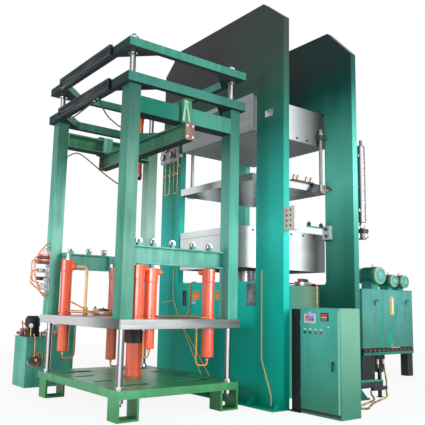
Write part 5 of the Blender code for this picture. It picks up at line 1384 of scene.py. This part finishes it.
as_one("steam_loop_unions", loop_unions, "plant")

# Nameplate place on the press's near leg: a bare brushed plate on four drive pins, with a
# second small bare plate under it.
PRESS_FACE = 2.692
name_plate = block(
    "name_plate", at(PRESS_FACE - 0.003, -0.237, 4.925), at(PRESS_FACE + 0.0005, -0.035, 5.045),
    valve_bare, 0.001,
)
draw_in(name_plate, LEFT, 0.012, 0.0008)
small_plate = block(
    "small_plate", at(PRESS_FACE - 0.003, -0.160, 4.765), at(PRESS_FACE + 0.0005, -0.120, 4.802),
    black_oxide, 0.001,
)
PIN_STEPS = [(0.005, 0), (0.005, 0.002), (0.003, 0.0035)]
pins = [
    turned("plate_pin", PIN_STEPS, at(PRESS_FACE - 0.003, y, z), LEFT, zinc, 10)
    for y in (-0.227, -0.045)
    for z in (4.934, 5.036)
]
as_one("bare_name_plate", [name_plate, small_plate, *pins], "plant")

# Squares on the press's leg under its window: two of orange reflecting film, and the covers of
# the openings to the heating pipes, one black and two grey, each with a sunk field.
amber_film = tinted("amber_film", (0.80, 0.20, 0.02), (0.95, 0.42, 0.06), 20.0, 0.3, 0.0004)
for n, (y0, y1, z0, z1, material, slot) in enumerate(
    (
        (1.795, 2.030, 1.720, 1.895, amber_film, "lift_red"),
        (1.166, 1.290, 1.730, 1.890, amber_film, "lift_red"),
        (2.250, 2.372, 1.600, 1.905, black_enamel, "black_paint"),
        (0.166, 0.423, 1.630, 2.030, cover_grey, "box_grey"),
        (1.930, 2.050, 1.640, 1.705, box_grey, "box_grey"),
    ),
    1,
):
    cover = block(
        f"access_cover_{n}", at(PRESS_FACE - 0.008, y0, z0), at(PRESS_FACE + 0.0005, y1, z1),
        material, 0.002,
    )
    draw_in(cover, LEFT, 0.014, 0.003)
    as_one(f"access_cover_{n}", [cover], "plant")

# Button box's face on the press's edge: four rows of two caps in yellow bezels, inside a light
# rim. They are lamps and switches of the press's own steps.
BUTTON_ROWS, ROW_STEP, COLUMN_STEP = 4, 0.085, 0.090
low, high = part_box("button_box")
caps = []
for row in range(BUTTON_ROWS):
    for column in range(2):
        z = low.z + 0.065 + row * ROW_STEP
        y = low.y + 0.080 + column * COLUMN_STEP
        caps.append(
            turned(
                f"bezel_{row}_{column}",
                [(0.026, 0), (0.026, 0.006), (0.022, 0.010), (0.017, 0.010)], (low.x + 0.001, y, z),
                LEFT, bezel_yellow, 18,
            )
        )
        caps.append(
            turned(
                f"cap_{row}_{column}", [(0.0165, 0), (0.0165, 0.016), (0.013, 0.020)],
                (low.x + 0.001, y, z), LEFT,
                (black_oxide, lens_red, lens_green, black_oxide)[(row + 2 * column) % 4], 18,
            )
        )
rim = block(
    "button_box_rim", (low.x - 0.002, low.y + 0.028, low.z + 0.020),
    (low.x + 0.001, high.y - 0.028, high.z - 0.020), box_grey, 0.001,
)
as_one("button_box_caps", [*caps, rim], "plant")

# Socket box on the far frame plate's near edge: a light box with two sockets in its sunk face
# and two cable glands below.
socket = block("socket_box", at(4.395, 0.005, 2.905), at(4.4875, 0.190, 3.165), box_grey, 0.008)
draw_in(socket, LEFT, 0.012, 0.004)
glands = [
    turned(
        "socket_gland", [(0.022, 0), (0.022, 0.02), (0.016, 0.026), (0.011, 0.045)],
        at(4.44, y, 2.906), DOWN, black_oxide, 14,
    )
    for y in (0.05, 0.14)
]
sockets = [
    turned(
        "socket_cap", [(0.028, 0), (0.028, 0.010), (0.020, 0.014), (0.020, 0.008)],
        at(4.396, 0.0975, z), LEFT, valve_iron, 18,
    )
    for z in (2.975, 3.095)
]
as_one("socket_box", [socket], "plant")
as_one("socket_box_fittings", glands + sockets, "plant")

# Heating platens' screws: the upper block and the table each carry a ground heating platen,
# held along its front edge by a row of six black cap screws.
SCREW_ROW, SCREW_END = 6, 0.30
CAP_SCREW = [(0.020, -0.002), (0.020, 0.014), (0.016, 0.018), (0.010, 0.018), (0.010, 0.008)]
for node, body, y, z in (
    ("upper_block", "plant", at(0, 0.268, 0).y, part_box("upper_block")[0].z + 0.060),
    ("lower_table", "table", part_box("lower_table")[0].y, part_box("lower_table")[1].z - 0.060),
):
    low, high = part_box(node)
    screw = turned(f"{node}_screw", CAP_SCREW, (low.x + SCREW_END, y, z), NEAR, black_oxide, 14)
    step = (high.x - low.x - 2 * SCREW_END) / (SCREW_ROW - 1)
    shifts = [Matrix.Translation((step * k, 0, 0)) for k in range(1, SCREW_ROW)]
    as_one(f"{node}_platen_screws", repeated(screw, shifts), body)

# Steam unions of the middle platen: four tapped bosses with brass unions and hose tails, on a
# thin shelf at the platen's front, outside the slabs' footprint.


def steam_union(name, place, axis, out):
    """A tapped boss, its hexagon union and the threaded tail for a hose."""
    place, axis = Vector(place), Vector(axis).normalized()
    boss = turned(
        name, [(0.034, -0.002), (0.034, 0.020), (0.028, 0.026), (0.020, 0.026), (0.020, 0.034)],
        place, axis, valve_bare, 16,
    )
    nut = hexagon(name + "_nut", place + axis * 0.034, axis, 0.052, 0.030, brass, False)
    tail = turned(
        name + "_tail",
        [
            (0.016, 0), (0.016, 0.008), (0.012, 0.010), (0.016, 0.018), (0.012, 0.020),
            (0.016, 0.028), (0.012, 0.030), (0.012, out),
        ],
        place + axis * 0.064, axis, valve_iron, 14,
    )
    return [boss, *nut, tail]


rows = [block("union_shelf", at(3.600, 0.176, 3.9655), at(4.170, 0.2676, 3.988), valve_iron, 0.004)]
for n, x in enumerate((3.655, 3.755, 3.985, 4.110), 1):
    rows += steam_union(f"platen_union_{n}", at(x, 0.213, 3.988), UP, 0.034)
as_one("platen_steam_unions", rows, "platen")

# Limit switches of the press: two roller switches on a thin arm that is bolted to the far
# plate's inner face, just in front of the table's top edge.
arm = block("switch_arm", at(3.930, 0.150, 3.108), at(4.4877, 0.162, 3.140), press_green, 0.003)
switches = []
for n, x in enumerate((3.988, 4.319), 1):
    switches.append(
        block(
            f"limit_switch_{n}", at(x - 0.034, 0.130, 3.138), at(x + 0.034, 0.172, 3.200),
            black_enamel, 0.005,
        )
    )
    switches.append(
        turned(
            f"switch_roller_{n}", [(0.014, 0), (0.018, 0.003), (0.018, 0.013), (0.014, 0.016)],
            at(x, 0.143, 3.214), FAR, brass, 16,
        )
    )
as_one("limit_switch_arm", [arm], "plant")
as_one("limit_switches", switches, "plant")

# Steam manifold on the middle platen's near corner: a dark cast bracket with a bright block of
# cocks at its end.
bracket = block(
    "manifold_bracket", at(4.06, 0.150, 3.790), at(4.34, 0.266, 3.965), valve_iron, 0.006
)
pick(bracket)
bpy.ops.object.mode_set(mode="EDIT")
bpy.ops.mesh.select_all(action="SELECT")
bpy.ops.mesh.bisect(
    plane_co=at(4.16, 0.2, 3.965), plane_no=(-0.80, 0, 0.60), use_fill=True, clear_outer=True
)
bpy.ops.object.mode_set(mode="OBJECT")
block_end = block(
    "manifold_block", at(4.34, 0.120, 3.845), at(4.50, 0.266, 3.960), valve_bare, 0.006
)
cocks = []
for n, (x, z) in enumerate(((4.37, 3.90), (4.43, 3.90), (4.47, 3.87)), 1):
    cocks += steam_union(f"manifold_union_{n}", at(x, 0.118, z), NEAR, 0.045)
as_one("manifold_bracket", [bracket], "platen")
as_one("manifold_block", [block_end], "platen")
as_one("manifold_unions", cocks, "platen")

# Bed's filling valve: a spool valve on a ground seat on the bed's top at the near corner, with
# two copper pipes that go down the bed and back to the ram.
fill = spool_valve("bed_valve", at(4.20, 0.52, 2.13), RIGHT, 0.14)
seat_plate = block(
    "bed_valve_seat", at(4.06, 0.43, 2.0185), at(4.34, 0.61, 2.10), valve_bare, 0.006
)
bed_pipes = tube_set(
    "bed_pipe", 0.06,
    (
        0.014, copper, (4.34, 0.50, 2.06), (4.42, 0.50, 2.06), (4.42, 0.36, 2.06),
        (4.42, 0.36, 1.20), (4.42, 0.345, 1.20),
    ),
    (0.014, copper, (4.06, 0.52, 2.06), (3.95, 0.52, 2.06), (3.95, 0.90, 2.06), (3.95, 1.02, 2.04)),
)
as_one("bed_valve", fill, "plant")
as_one("bed_valve_seat", [seat_plate], "plant")
as_one("bed_pipes", bed_pipes, "plant")

# Control wires of the press: yellow-sheathed cable clipped down the near leg to its sole, and
# two thin ones down the plate behind the loader.
cable_yellow = tinted("cable_yellow", (0.82, 0.58, 0.16), (0.90, 0.72, 0.34), 40.0, 0.45, 0.0005)
WIRE_X = PRESS_FACE - 0.011
wires = tube_set(
    "wire", 0.12,
    (
        0.0105, cable_yellow, (WIRE_X, 0.013, 2.235), (WIRE_X, 0.013, 1.50), (WIRE_X, 0.008, 0.76),
        (WIRE_X, -0.232, 0.19), (WIRE_X - 0.02, -0.250, 0.045),
    ),
    (
        0.010, cable_yellow, (WIRE_X, 2.718, 2.62), (WIRE_X, 2.70, 1.73), (WIRE_X, 2.43, 1.30),
        (WIRE_X, 1.62, 0.25),
    ),
    (0.010, cable_yellow, (WIRE_X, 2.39, 1.27), (WIRE_X, 2.20, 1.08), (WIRE_X, 1.33, 0.25)),
    (0.008, cable_yellow, (WIRE_X, 3.10, 1.66), (WIRE_X, 2.72, 1.70)),
    (
        0.014, pipe_amber, (WIRE_X, 3.20, 1.35), (WIRE_X, 2.28, 1.36), (WIRE_X, 2.115, 1.50),
        (WIRE_X, 2.10, 2.068), (2.82, 2.10, 2.068),
    ),
)
as_one("plate_wires", wires, "plant")
clips = []
for y, z in (
    (0.013, 2.10), (0.013, 1.60), (0.010, 1.05), (-0.115, 0.47), (2.71, 2.30), (2.70, 1.85),
    (2.03, 0.78),
):
    clips.append(
        block(
            "wire_clip", at(WIRE_X - 0.013, y - 0.020, z - 0.010), at(2.6925, y + 0.020, z + 0.010),
            zinc, 0.003,
        )
    )
as_one("wire_clips", clips, "plant")

# Glands and clips of the loader's control cables: a nipple in each post, and a small saddle
# under the rail where a cable is held.
cable_glands = []
for x, y, z, axis in (
    (0.030, 0.2712, 4.290, FAR), (0.027, 0.2712, 3.405, FAR), (0.179, 2.6618, 4.275, NEAR)
):
    cable_glands.append(
        turned(
            "cable_gland",
            [(0.020, 0), (0.020, 0.008), (0.015, 0.012), (0.015, 0.022), (0.0095, 0.026)],
            at(x, y, z), axis, black_oxide, 14,
        )
    )
for x, y in ((-0.030, 1.150), (-0.030, 1.010), (0.045, 2.200)):
    cable_glands.append(
        block(
            "cable_saddle", at(x - 0.026, y - 0.014, 4.912), at(x + 0.014, y + 0.014, 4.9345), zinc,
            0.003,
        )
    )
as_one("control_cable_clips", cable_glands, "carriage")

# Clamp faces of the hanger: each claw carries a pale A-shaped saddle of cast steel, and an
# upright keeper on the far claw's inner side holds the beam to its rail.
cowl_paint = enamel("cowl_paint", (0.22, 0.58, 0.52), (0.12, 0.42, 0.38), 0.3, size=3.0, soil=0.0)
saddle_pale = enamel(
    "saddle_pale", (0.24, 0.52, 0.34), (0.13, 0.38, 0.29), 0.35, size=3.0, soil=0.0
)


def strut(name, a, b, width, depth, material):
    """A flat bar from a to b in a plane across Y."""
    a, b = Vector(a), Vector(b)
    along = (b - a).normalized()
    bar = block(
        name, (-width / 2, -depth / 2, 0), (width / 2, depth / 2, (b - a).length), material, 0.003
    )
    side = Vector(FAR).cross(along)
    set_along(bar, side, Vector(FAR), along, a)
    return bar


for n, (y, out) in enumerate(((-0.0205, -1), (2.9535, 1)), 1):
    y = y + out * 0.008
    saddle = [
        strut(
            f"saddle_left_{n}", at(0.990, y, 4.846), at(0.950, y, 4.500), 0.045, 0.016, saddle_pale
        ),
        strut(
            f"saddle_right_{n}", at(0.996, y, 4.846), at(1.068, y, 4.500), 0.036, 0.016,
            saddle_pale,
        ),
        block(
            f"saddle_top_{n}", at(0.958, y - 0.009, 4.800), at(1.030, y + 0.009, 4.856),
            saddle_pale, 0.003,
        ),
    ]
    as_one(f"clamp_saddle_{n}", saddle, "hanger")
keeper = [
    block("keeper_plate", at(0.925, 2.636, 4.4992), at(1.112, 2.652, 4.800), cowl_paint, 0.004),
    block("keeper_foot", at(0.945, 2.600, 4.4988), at(1.100, 2.636, 4.512), cowl_paint, 0.003),
    strut(
        "keeper_rib", at(0.972, 2.629, 4.505), at(1.005, 2.629, 4.770), 0.030, 0.014, saddle_pale
    ),
    strut(
        "keeper_rib_2", at(1.075, 2.629, 4.505), at(1.040, 2.629, 4.770), 0.030, 0.014, saddle_pale
    ),
]
as_one("hanger_keeper", keeper, "hanger")

# Balance cylinder: a slim red cylinder that hangs from the crown's far side behind the post,
# in a bolted bracket, with a black cap at its lower end.
place = at(1.990, 3.075, 4.180)
balance = turned(
    "balance_tube",
    [
        (0.052, 0.060), (0.054, 0.064), (0.054, 0.150), (0.046, 0.160), (0.046, 1.200),
        (0.054, 1.210), (0.054, 1.330), (0.040, 1.340), (0.040, 1.420),
    ],
    place, UP, red_enamel, 28,
)
rings = [
    turned(
        f"balance_ring_{k}", [(0.048, 0), (0.051, 0.003), (0.051, 0.017), (0.048, 0.020)],
        place + Vector((0, 0, 0.22 + 0.12 * k)), UP, pipe_pale, 28,
    )
    for k in range(8)
]
cap = turned(
    "balance_cap", [(0.030, 0.0), (0.044, 0.006), (0.044, 0.058), (0.050, 0.062)], place, UP,
    black_enamel, 28,
)
bracket = block(
    "balance_bracket", at(1.930, 2.9705, 5.500), at(2.050, 3.135, 5.524), frame_green, 0.004
)
plate = block("balance_foot", at(1.915, 2.9705, 5.495), at(2.065, 2.984, 5.620), frame_green, 0.003)
bolts = []
for x in (1.935, 2.045):
    bolts += hexagon("balance_bolt", at(x, 2.984, 5.585), FAR, 0.030, 0.016, zinc)
bolts += hexagon("balance_nut", at(1.990, 3.075, 5.600), UP, 0.075, 0.028, zinc)
as_one("balance_cylinder", [balance, *rings], "plant")
as_one("balance_cap", [cap], "plant")
as_one("balance_bracket", [bracket, plate], "plant")
as_one("balance_bolts", bolts, "plant")

# Bleed nozzle on the fourth cylinder's head, and the deck valves' pale coils and their plugs,
# which stand about on the platform.
nozzle = turned(
    "bleed_nozzle",
    [
        (0.036, 0.0), (0.036, 0.024), (0.028, 0.030), (0.028, 0.098), (0.022, 0.104),
        (0.022, 0.122), (0.012, 0.126),
    ],
    at(0.222, 2.424, 2.3745), UP, valve_bare, 20,
)
as_one("bleed_nozzle", [nozzle], "carriage")
deck_bits = []
for n, (x, y, height) in enumerate(
    ((0.74, 2.30, 0.12), (0.96, 2.42, 0.10), (0.70, 2.62, 0.14), (1.10, 2.28, 0.08)), 1
):
    deck_bits.append(
        block(
            f"deck_coil_{n}", at(x - 0.035, y - 0.030, DECK + 0.0004),
            at(x + 0.035, y + 0.030, DECK + height), box_grey, 0.006,
        )
    )
    deck_bits.append(
        turned(
            f"deck_plug_{n}", [(0.020, 0), (0.020, 0.020), (0.014, 0.026), (0.014, 0.040)],
            at(x, y, DECK + height - 0.001), UP, (black_oxide, red_enamel, zinc, brass)[n - 1], 14,
        )
    )
as_one("deck_coils", deck_bits, "carriage")

# Accumulator's foot: a shut-off block on the bottle's neck, with its hand wheel, a gauge and a
# bent pipe to the clip, over a flange.
shut_off = block(
    "shut_off", (axis_x - 0.062, axis_y - 0.075, 3.02), (axis_x + 0.055, axis_y + 0.060, 3.10),
    valve_iron, 0.008,
)
neck = [
    turned(
        "neck_nut", [(0.052, 0), (0.060, 0.006), (0.060, 0.050), (0.052, 0.056)],
        (axis_x, axis_y, 3.150), UP, zinc, 6,
    ),
    turned(
        "neck_flange", [(0.050, 0), (0.070, 0.0), (0.070, 0.020), (0.052, 0.026)],
        (axis_x, axis_y, 2.902), UP, black_oxide, 24,
    ),
]
wheel = turned(
    "neck_wheel",
    [
        (0.010, 0.0), (0.010, 0.045), (0.036, 0.050), (0.042, 0.056), (0.042, 0.066),
        (0.034, 0.072), (0.012, 0.064),
    ],
    (axis_x + 0.050, axis_y - 0.010, 3.060), (0.86, -0.5, 0), black_oxide, 20,
)
neck_dial = dial("neck_dial", (axis_x - 0.075, axis_y - 0.055, 3.135), (-0.6, -0.8, 0), 0.038, 7)
neck_pipe = pipe(
    "neck_pipe",
    [
        Vector((axis_x + 0.03, axis_y - 0.06, 3.04)), Vector((axis_x + 0.03, axis_y - 0.115, 3.04)),
        Vector((axis_x + 0.03, axis_y - 0.115, 2.955)),
        Vector((axis_x + 0.055, axis_y - 0.06, 2.930)), Vector((axis_x + 0.050, axis_y, 2.925)),
    ],
    0.010, 0.03, copper,
)
as_one("accumulator_valve", [shut_off, wheel, *neck_dial], "plant")
as_one("accumulator_neck", neck, "plant")
as_one("accumulator_pipe", [neck_pipe], "plant")

# Cabinet's fittings: a screen in a white frame, a temperature controller, bare legend strips over
# the buttons, a pale strip down the door's edge as a painted highlight, and a black strip in the
# gap below the door as painted shade.
screen_frame = block(
    "screen_frame", at(2.8105, -1.086, 1.384), at(2.8135, -0.843, 1.531), box_grey, 0.001
)
screen_glass = Finish("screen_glass")
x, y, z = screen_glass.axes()
part = screen_glass.between(y, at(0, -0.965, 0).y, at(0, -0.960, 0).y)
row = screen_glass.between(z, 1.44, 1.445)
upper = screen_glass.mix((0.05, 0.22, 0.75), (0.65, 0.03, 0.12), part)
lower = screen_glass.mix((0.02, 0.12, 0.35), (0.28, 0.05, 0.42), part)
ruled = screen_glass.between(screen_glass.noise(90.0, 1.0, (1, 0.2, 1)), 0.48, 0.52)
screen_glass = screen_glass.wear(
    screen_glass.mix(screen_glass.mix(lower, upper, row), (0.7, 0.8, 0.9), ruled * 0.35), 0.12
)
screen = block("screen", at(2.8095, -1.050, 1.412), at(2.8125, -0.880, 1.508), screen_glass, 0)
controller = block(
    "controller", at(2.803, -1.340, 1.424), at(2.8195, -1.191, 1.547), black_enamel, 0.003
)
led_red = tinted("led_red", (0.55, 0.02, 0.02), (0.85, 0.06, 0.04), 90.0, 0.3)
windows = [
    block("controller_window", at(2.8005, -1.322, 1.486), at(2.8035, -1.209, 1.530), led_red, 0),
    block("controller_label", at(2.8005, -1.322, 1.470), at(2.8035, -1.209, 1.482), dial_white, 0),
    block("controller_keys", at(2.8005, -1.322, 1.436), at(2.8035, -1.209, 1.452), cover_grey, 0),
]
legends = [
    block("legend_screen", at(2.8165, -0.985, 1.546), at(2.8195, -0.925, 1.560), dial_white, 0),
    block("legend_lock", at(2.8165, -1.352, 1.326), at(2.8195, -1.322, 1.345), dial_white, 0),
]
for k in range(4):
    legends.append(
        block(
            f"legend_{k}", at(2.8165, -0.878 - 0.111 * k, 1.284),
            at(2.8195, -0.826 - 0.111 * k, 1.298), dial_white, 0,
        )
    )
for name, parts, slot in (
    ("cabinet_screen", [screen_frame, screen], "box_grey"),
    ("cabinet_controller", [controller, *windows], "black_paint"),
    ("cabinet_legends", legends, "box_grey"),
):
    as_one(name, parts, "door")
# Painted highlight: a pale strip along the door's edge.
edge_highlight_paint = enamel("edge_highlight_paint", (0.36, 0.60, 0.40), (0.22, 0.50, 0.36), 0.35, size=3.0, soil=0.0)
edge_highlight_strip = block("edge_highlight_strip", at(2.8165, -1.543, 0.085), at(2.8195, -1.519, 1.600), edge_highlight_paint, 0)
as_one("cabinet_edge_strip", [edge_highlight_strip], "door")
# Painted shade: a black strip in the gap under the door.
gap_shade_strip = block(
    "gap_shade_strip", at(2.836, -1.535, 0.034), at(2.8408, -0.765, 0.070), black_enamel, 0
)
as_one("cabinet_shadow_gap", [gap_shade_strip], "plant")

# Oil tank's fittings: a level glass in a cream guard, two lifting hooks, a drain cock, and a
# rail and a bolted sill along the foot of its front.
guard = block("level_guard", at(8.020, 1.304, 1.469), at(8.159, 1.3175, 1.896), bezel_yellow, 0.004)
draw_in(guard, NEAR, 0.022, 0.006)
glass = turned(
    "level_glass", [(0.016, 0), (0.020, 0.004), (0.020, 0.350), (0.016, 0.354)],
    at(8.090, 1.300, 1.505), UP, dial_white, 16,
)
as_one("tank_level", [guard, glass], "plant")
hook_green = enamel("hook_green", (0.010, 0.20, 0.15), (0.006, 0.12, 0.09), 0.3, soil=0.0)
hooks = []
for n, (x, z) in enumerate(((7.381, 1.685), (8.600, 1.700)), 1):
    hooks.append(
        pipe(
            f"tank_hook_{n}",
            [
                at(x + 0.145, 1.312, z + 0.115), at(x + 0.145, 1.262, z + 0.115),
                at(x + 0.020, 1.262, z + 0.115), at(x + 0.020, 1.262, z),
            ],
            0.016, 0.02, hook_green,
        )
    )
as_one("tank_hooks", hooks, "plant")
drain = [
    turned(
        "drain_stub", [(0.022, 0), (0.022, 0.040), (0.016, 0.046), (0.016, 0.070)],
        at(7.974, 1.3175, 0.775), NEAR, brass, 16,
    ),
    block("drain_lever", at(7.958, 1.245, 0.790), at(8.030, 1.257, 0.802), red_enamel, 0.003),
]
as_one("tank_drain", drain, "plant")
rail = block("tank_rail", at(6.990, 1.302, 0.545), at(8.915, 1.3178, 0.612), hook_green, 0.003)
sill = block("tank_sill", at(6.990, 1.306, 0.616), at(8.915, 1.3178, 0.700), stand_green, 0.003)
rail_bolts = []
for k in range(12):
    rail_bolts += hexagon(
        "rail_bolt", at(7.06 + 0.165 * k, 1.306, 0.655), NEAR, 0.026, 0.012, copper, False
    )
as_one("tank_rail", [rail], "plant")
as_one("tank_sill", [sill], "plant")
as_one("tank_rail_bolts", rail_bolts, "plant")

# Motors' fittings: cooling fins along each frame, a fan cowl with its grille, a terminal box and
# a lifting eye.
MOTOR_FRONT = 1.378
# Painted highlight: the cowls' rims are painted pale.
rim_highlight_paint = enamel("rim_highlight_paint", (0.56, 0.60, 0.26), (0.16, 0.42, 0.26), 0.3, size=6.0, soil=0.0)
fin_paint = enamel("fin_paint", (0.024, 0.34, 0.25), (0.012, 0.20, 0.14), 0.3, size=3.0, soil=0.0)


def round_about(piece, centre, count, span=360.0):
    """The piece and its copies, turned evenly round a line through centre along Y."""
    there, back = Matrix.Translation(centre), Matrix.Translation(-centre)
    turns = [math.radians(span * n / count) for n in range(1, count)]
    return repeated(piece, [there @ Matrix.Rotation(turn, 4, "Y") @ back for turn in turns])


for n, (x, z, radius, length) in enumerate(
    ((7.750, 2.401, 0.205, 0.620), (8.300, 2.291, 0.150, 0.500), (8.740, 2.286, 0.158, 0.500)), 1
):
    near = at(x, MOTOR_FRONT, z)
    rim = turned(
        f"motor_rim_{n}",
        [
            (radius * 0.74, -0.050), (radius * 1.015, -0.046), (radius * 1.03, 0.000),
            (radius * 1.00, 0.012), (radius * 0.93, 0.012), (radius * 0.90, 0.004),
        ],
        near, NEAR, rim_highlight_paint, 36,
    )
    disc = turned(
        f"motor_disc_{n}",
        [
            (radius * 0.92, 0.001), (radius * 0.92, 0.008), (radius * 0.62, 0.022),
            (radius * 0.30, 0.026),
        ],
        near, NEAR, cowl_paint, 36,
    )
    # Painted shade: black strips stand for the dark openings of the grille's slots.
    slot_piece = block(
        f"motor_slot_{n}", (-0.006, -0.012, radius * 0.36), (0.006, 0.0, radius * 0.78),
        black_oxide, 0,
    )
    slot_piece.data.transform(Matrix.Translation(near + Vector((0, -0.0125, 0))))
    slots = round_about(slot_piece, near, 16)
    hub = turned(
        f"motor_hub_{n}", [(radius * 0.20, 0.020), (radius * 0.20, 0.034), (radius * 0.12, 0.040)],
        near, NEAR, cowl_paint, 24,
    )
    fin = block(
        f"motor_fin_{n}", (-0.003, length * 0.12, radius * 0.90),
        (0.003, length * 0.74, radius * 1.02), fin_paint, 0,
    )
    fin.data.transform(Matrix.Rotation(math.radians(-122), 4, "Y"))
    fin.data.transform(Matrix.Translation(near))
    fins = round_about(fin, near, 27, 250.0)
    box_place = near + Vector((0, length * 0.45, 0))
    terminal = block(
        f"motor_terminal_{n}", box_place + Vector((radius * 0.55, -0.07, radius * 0.55)),
        box_place + Vector((radius * 1.12, 0.07, radius * 1.10)), motor_paint, 0.008,
    )
    eye = [
        turned(
            f"motor_eye_stem_{n}", [(0.018, 0), (0.018, 0.012), (0.010, 0.016), (0.010, 0.030)],
            near + Vector((0, length * 0.36, radius * 0.985)), UP, pipe_amber, 14,
        ),
    ]
    bpy.ops.object.select_all(action="DESELECT")
    bpy.ops.mesh.primitive_torus_add(
        major_radius=0.022, minor_radius=0.007, major_segments=20, minor_segments=8,
        location=near + Vector((0, length * 0.36, radius * 0.985 + 0.048)),
        rotation=(math.pi / 2, 0, 0),
    )
    ring = bpy.context.object
    ring.name = f"motor_eye_{n}"
    eye.append(settle(ring, pipe_amber))
    as_one(f"motor_{n}_cowl", [disc, *slots, hub], "plant")
    as_one(f"motor_{n}_rim", [rim], "plant")
    as_one(f"motor_{n}_fins", fins, "plant")
    as_one(f"motor_{n}_terminal_box", [terminal], "plant")
    as_one(f"motor_{n}_lifting_eye", eye, "plant")

# Pipe stand behind the press: a dark welded beam with a green edge that leads the hoses' wall
# pipes, on one post with its foot.
stand_beam = block(
    "stand_beam", at(4.700, -0.440, 0.190), at(5.330, -0.350, 0.300), stand_green, 0.006
)
stand_bar = block(
    "stand_bar", at(5.060, -0.425, 0.128), at(5.480, -0.360, 0.190), stand_green, 0.006
)
stand_edge = block(
    "stand_edge", at(4.700, -0.446, 0.3002), at(5.330, -0.345, 0.318), press_green, 0.003
)
post = block("stand_post", at(5.262, -0.415, 0.010), at(5.322, -0.365, 0.520), stand_green, 0.004)
foot = block("stand_foot", at(5.237, -0.432, 0.0), at(5.347, -0.345, 0.012), stand_green, 0.003)
as_one("pipe_stand", [stand_beam, stand_bar, post, foot], "plant")
as_one("pipe_stand_edge", [stand_edge], "plant")

# Feed unit's fittings: a gear pump with its filter on the tank's front, and the valves, gauge
# and pipes round the motor's foot on the lid.
pump_brown = enamel(
    "pump_brown", (0.20, 0.075, 0.060), (0.09, 0.035, 0.045), 0.35, size=4.0, soil=0.0
)
FEED_Y = 3.866
pump = [
    block(
        "feed_pump_body", at(0.205, FEED_Y - 0.085, 0.455), at(0.330, FEED_Y - 0.001, 0.585),
        pump_brown, 0.010,
    ),
    turned(
        "feed_pump_can",
        [(0.050, 0), (0.058, 0.006), (0.058, 0.110), (0.048, 0.120), (0.020, 0.120)],
        at(0.345, FEED_Y - 0.062, 0.400), UP, pump_brown, 24,
    ),
    turned(
        "feed_pump_nose",
        [(0.036, 0), (0.036, 0.040), (0.028, 0.048), (0.028, 0.075), (0.016, 0.080)],
        at(0.212, FEED_Y - 0.045, 0.525), LEFT, valve_iron, 18,
    ),
    turned(
        "feed_pump_gear", [(0.040, 0), (0.044, 0.006), (0.044, 0.030), (0.034, 0.036)],
        at(0.268, FEED_Y - 0.085, 0.525), NEAR, black_oxide, 20,
    ),
]
filter_bits = [
    turned(
        "feed_filter", [(0.030, 0), (0.040, 0.004), (0.040, 0.075), (0.030, 0.080), (0.012, 0.080)],
        at(0.405, FEED_Y - 0.055, 0.455), UP, cover_grey, 20,
    ),
    *hexagon("feed_filter_nut", at(0.268, FEED_Y - 0.121, 0.525), NEAR, 0.040, 0.018, brass),
    *hexagon("feed_top_nut", at(0.262, FEED_Y - 0.045, 0.585), UP, 0.040, 0.024, brass),
]
feed_tubes = tube_set(
    "feed_tube", 0.05,
    (
        0.012, copper, (0.262, FEED_Y - 0.045, 0.600), (0.262, FEED_Y - 0.045, 0.905),
        (0.262, FEED_Y + 0.05, 1.00),
    ),
    (
        0.010, pipe_amber, (0.300, FEED_Y - 0.060, 0.590), (0.300, FEED_Y - 0.060, 0.660),
        (0.420, FEED_Y - 0.060, 0.660), (0.420, FEED_Y - 0.060, 0.530),
    ),
    (
        0.010, copper, (0.140, FEED_Y - 0.045, 0.525), (0.128, FEED_Y - 0.045, 0.440),
        (0.240, FEED_Y - 0.045, 0.400), (0.330, FEED_Y - 0.050, 0.410),
    ),
    (
        0.012, copper, (0.170, 4.02, 1.10), (0.110, 4.10, 1.22), (0.130, 4.25, 1.26),
        (0.200, 4.36, 1.10), (0.200, 4.36, 0.99),
    ),
    (
        0.012, pipe_amber, (0.450, 3.93, 1.03), (0.520, 3.93, 1.10), (0.640, 3.93, 1.06),
        (0.700, 3.93, 0.96),
    ),
)
LID = 0.952
valves = spool_valve("feed_valve_1", at(0.145, 4.38, LID + 0.055), FAR, 0.12)
valves += spool_valve("feed_valve_2", at(0.52, 4.02, LID + 0.060), RIGHT, 0.14)
valves += spool_valve("feed_valve_3", at(0.17, 4.05, LID + 0.120), (1, -0.4, 0), 0.10)
pale_parts = [
    block(
        "feed_manifold", at(0.430, 3.905, LID + 0.0004), at(0.630, 3.990, LID + 0.075), valve_bare,
        0.008,
    ),
    block(
        "feed_manifold_2", at(0.120, 4.290, LID + 0.0004), at(0.215, 4.335, LID + 0.150),
        valve_bare, 0.006,
    ),
    turned(
        "feed_breather",
        [(0.030, 0), (0.030, 0.030), (0.046, 0.034), (0.046, 0.085), (0.036, 0.095)],
        at(0.760, 4.03, LID), UP, box_grey, 22,
    ),
]
feed_dial = dial("feed_dial", at(0.215, 3.960, LID + 0.215), (-0.5, -0.85, 0), 0.050, 7)
dial_stem = turned(
    "feed_dial_stem", [(0.010, 0), (0.010, 0.17)], at(0.220, 3.972, LID), UP, brass, 12
)
as_one("feed_pump", pump, "plant")
as_one("feed_filter", filter_bits, "plant")
as_one("feed_tubes", feed_tubes, "plant")
as_one("feed_valves", valves, "plant")
as_one("feed_manifolds", pale_parts, "plant")
as_one("feed_gauge", [*feed_dial, dial_stem], "plant")
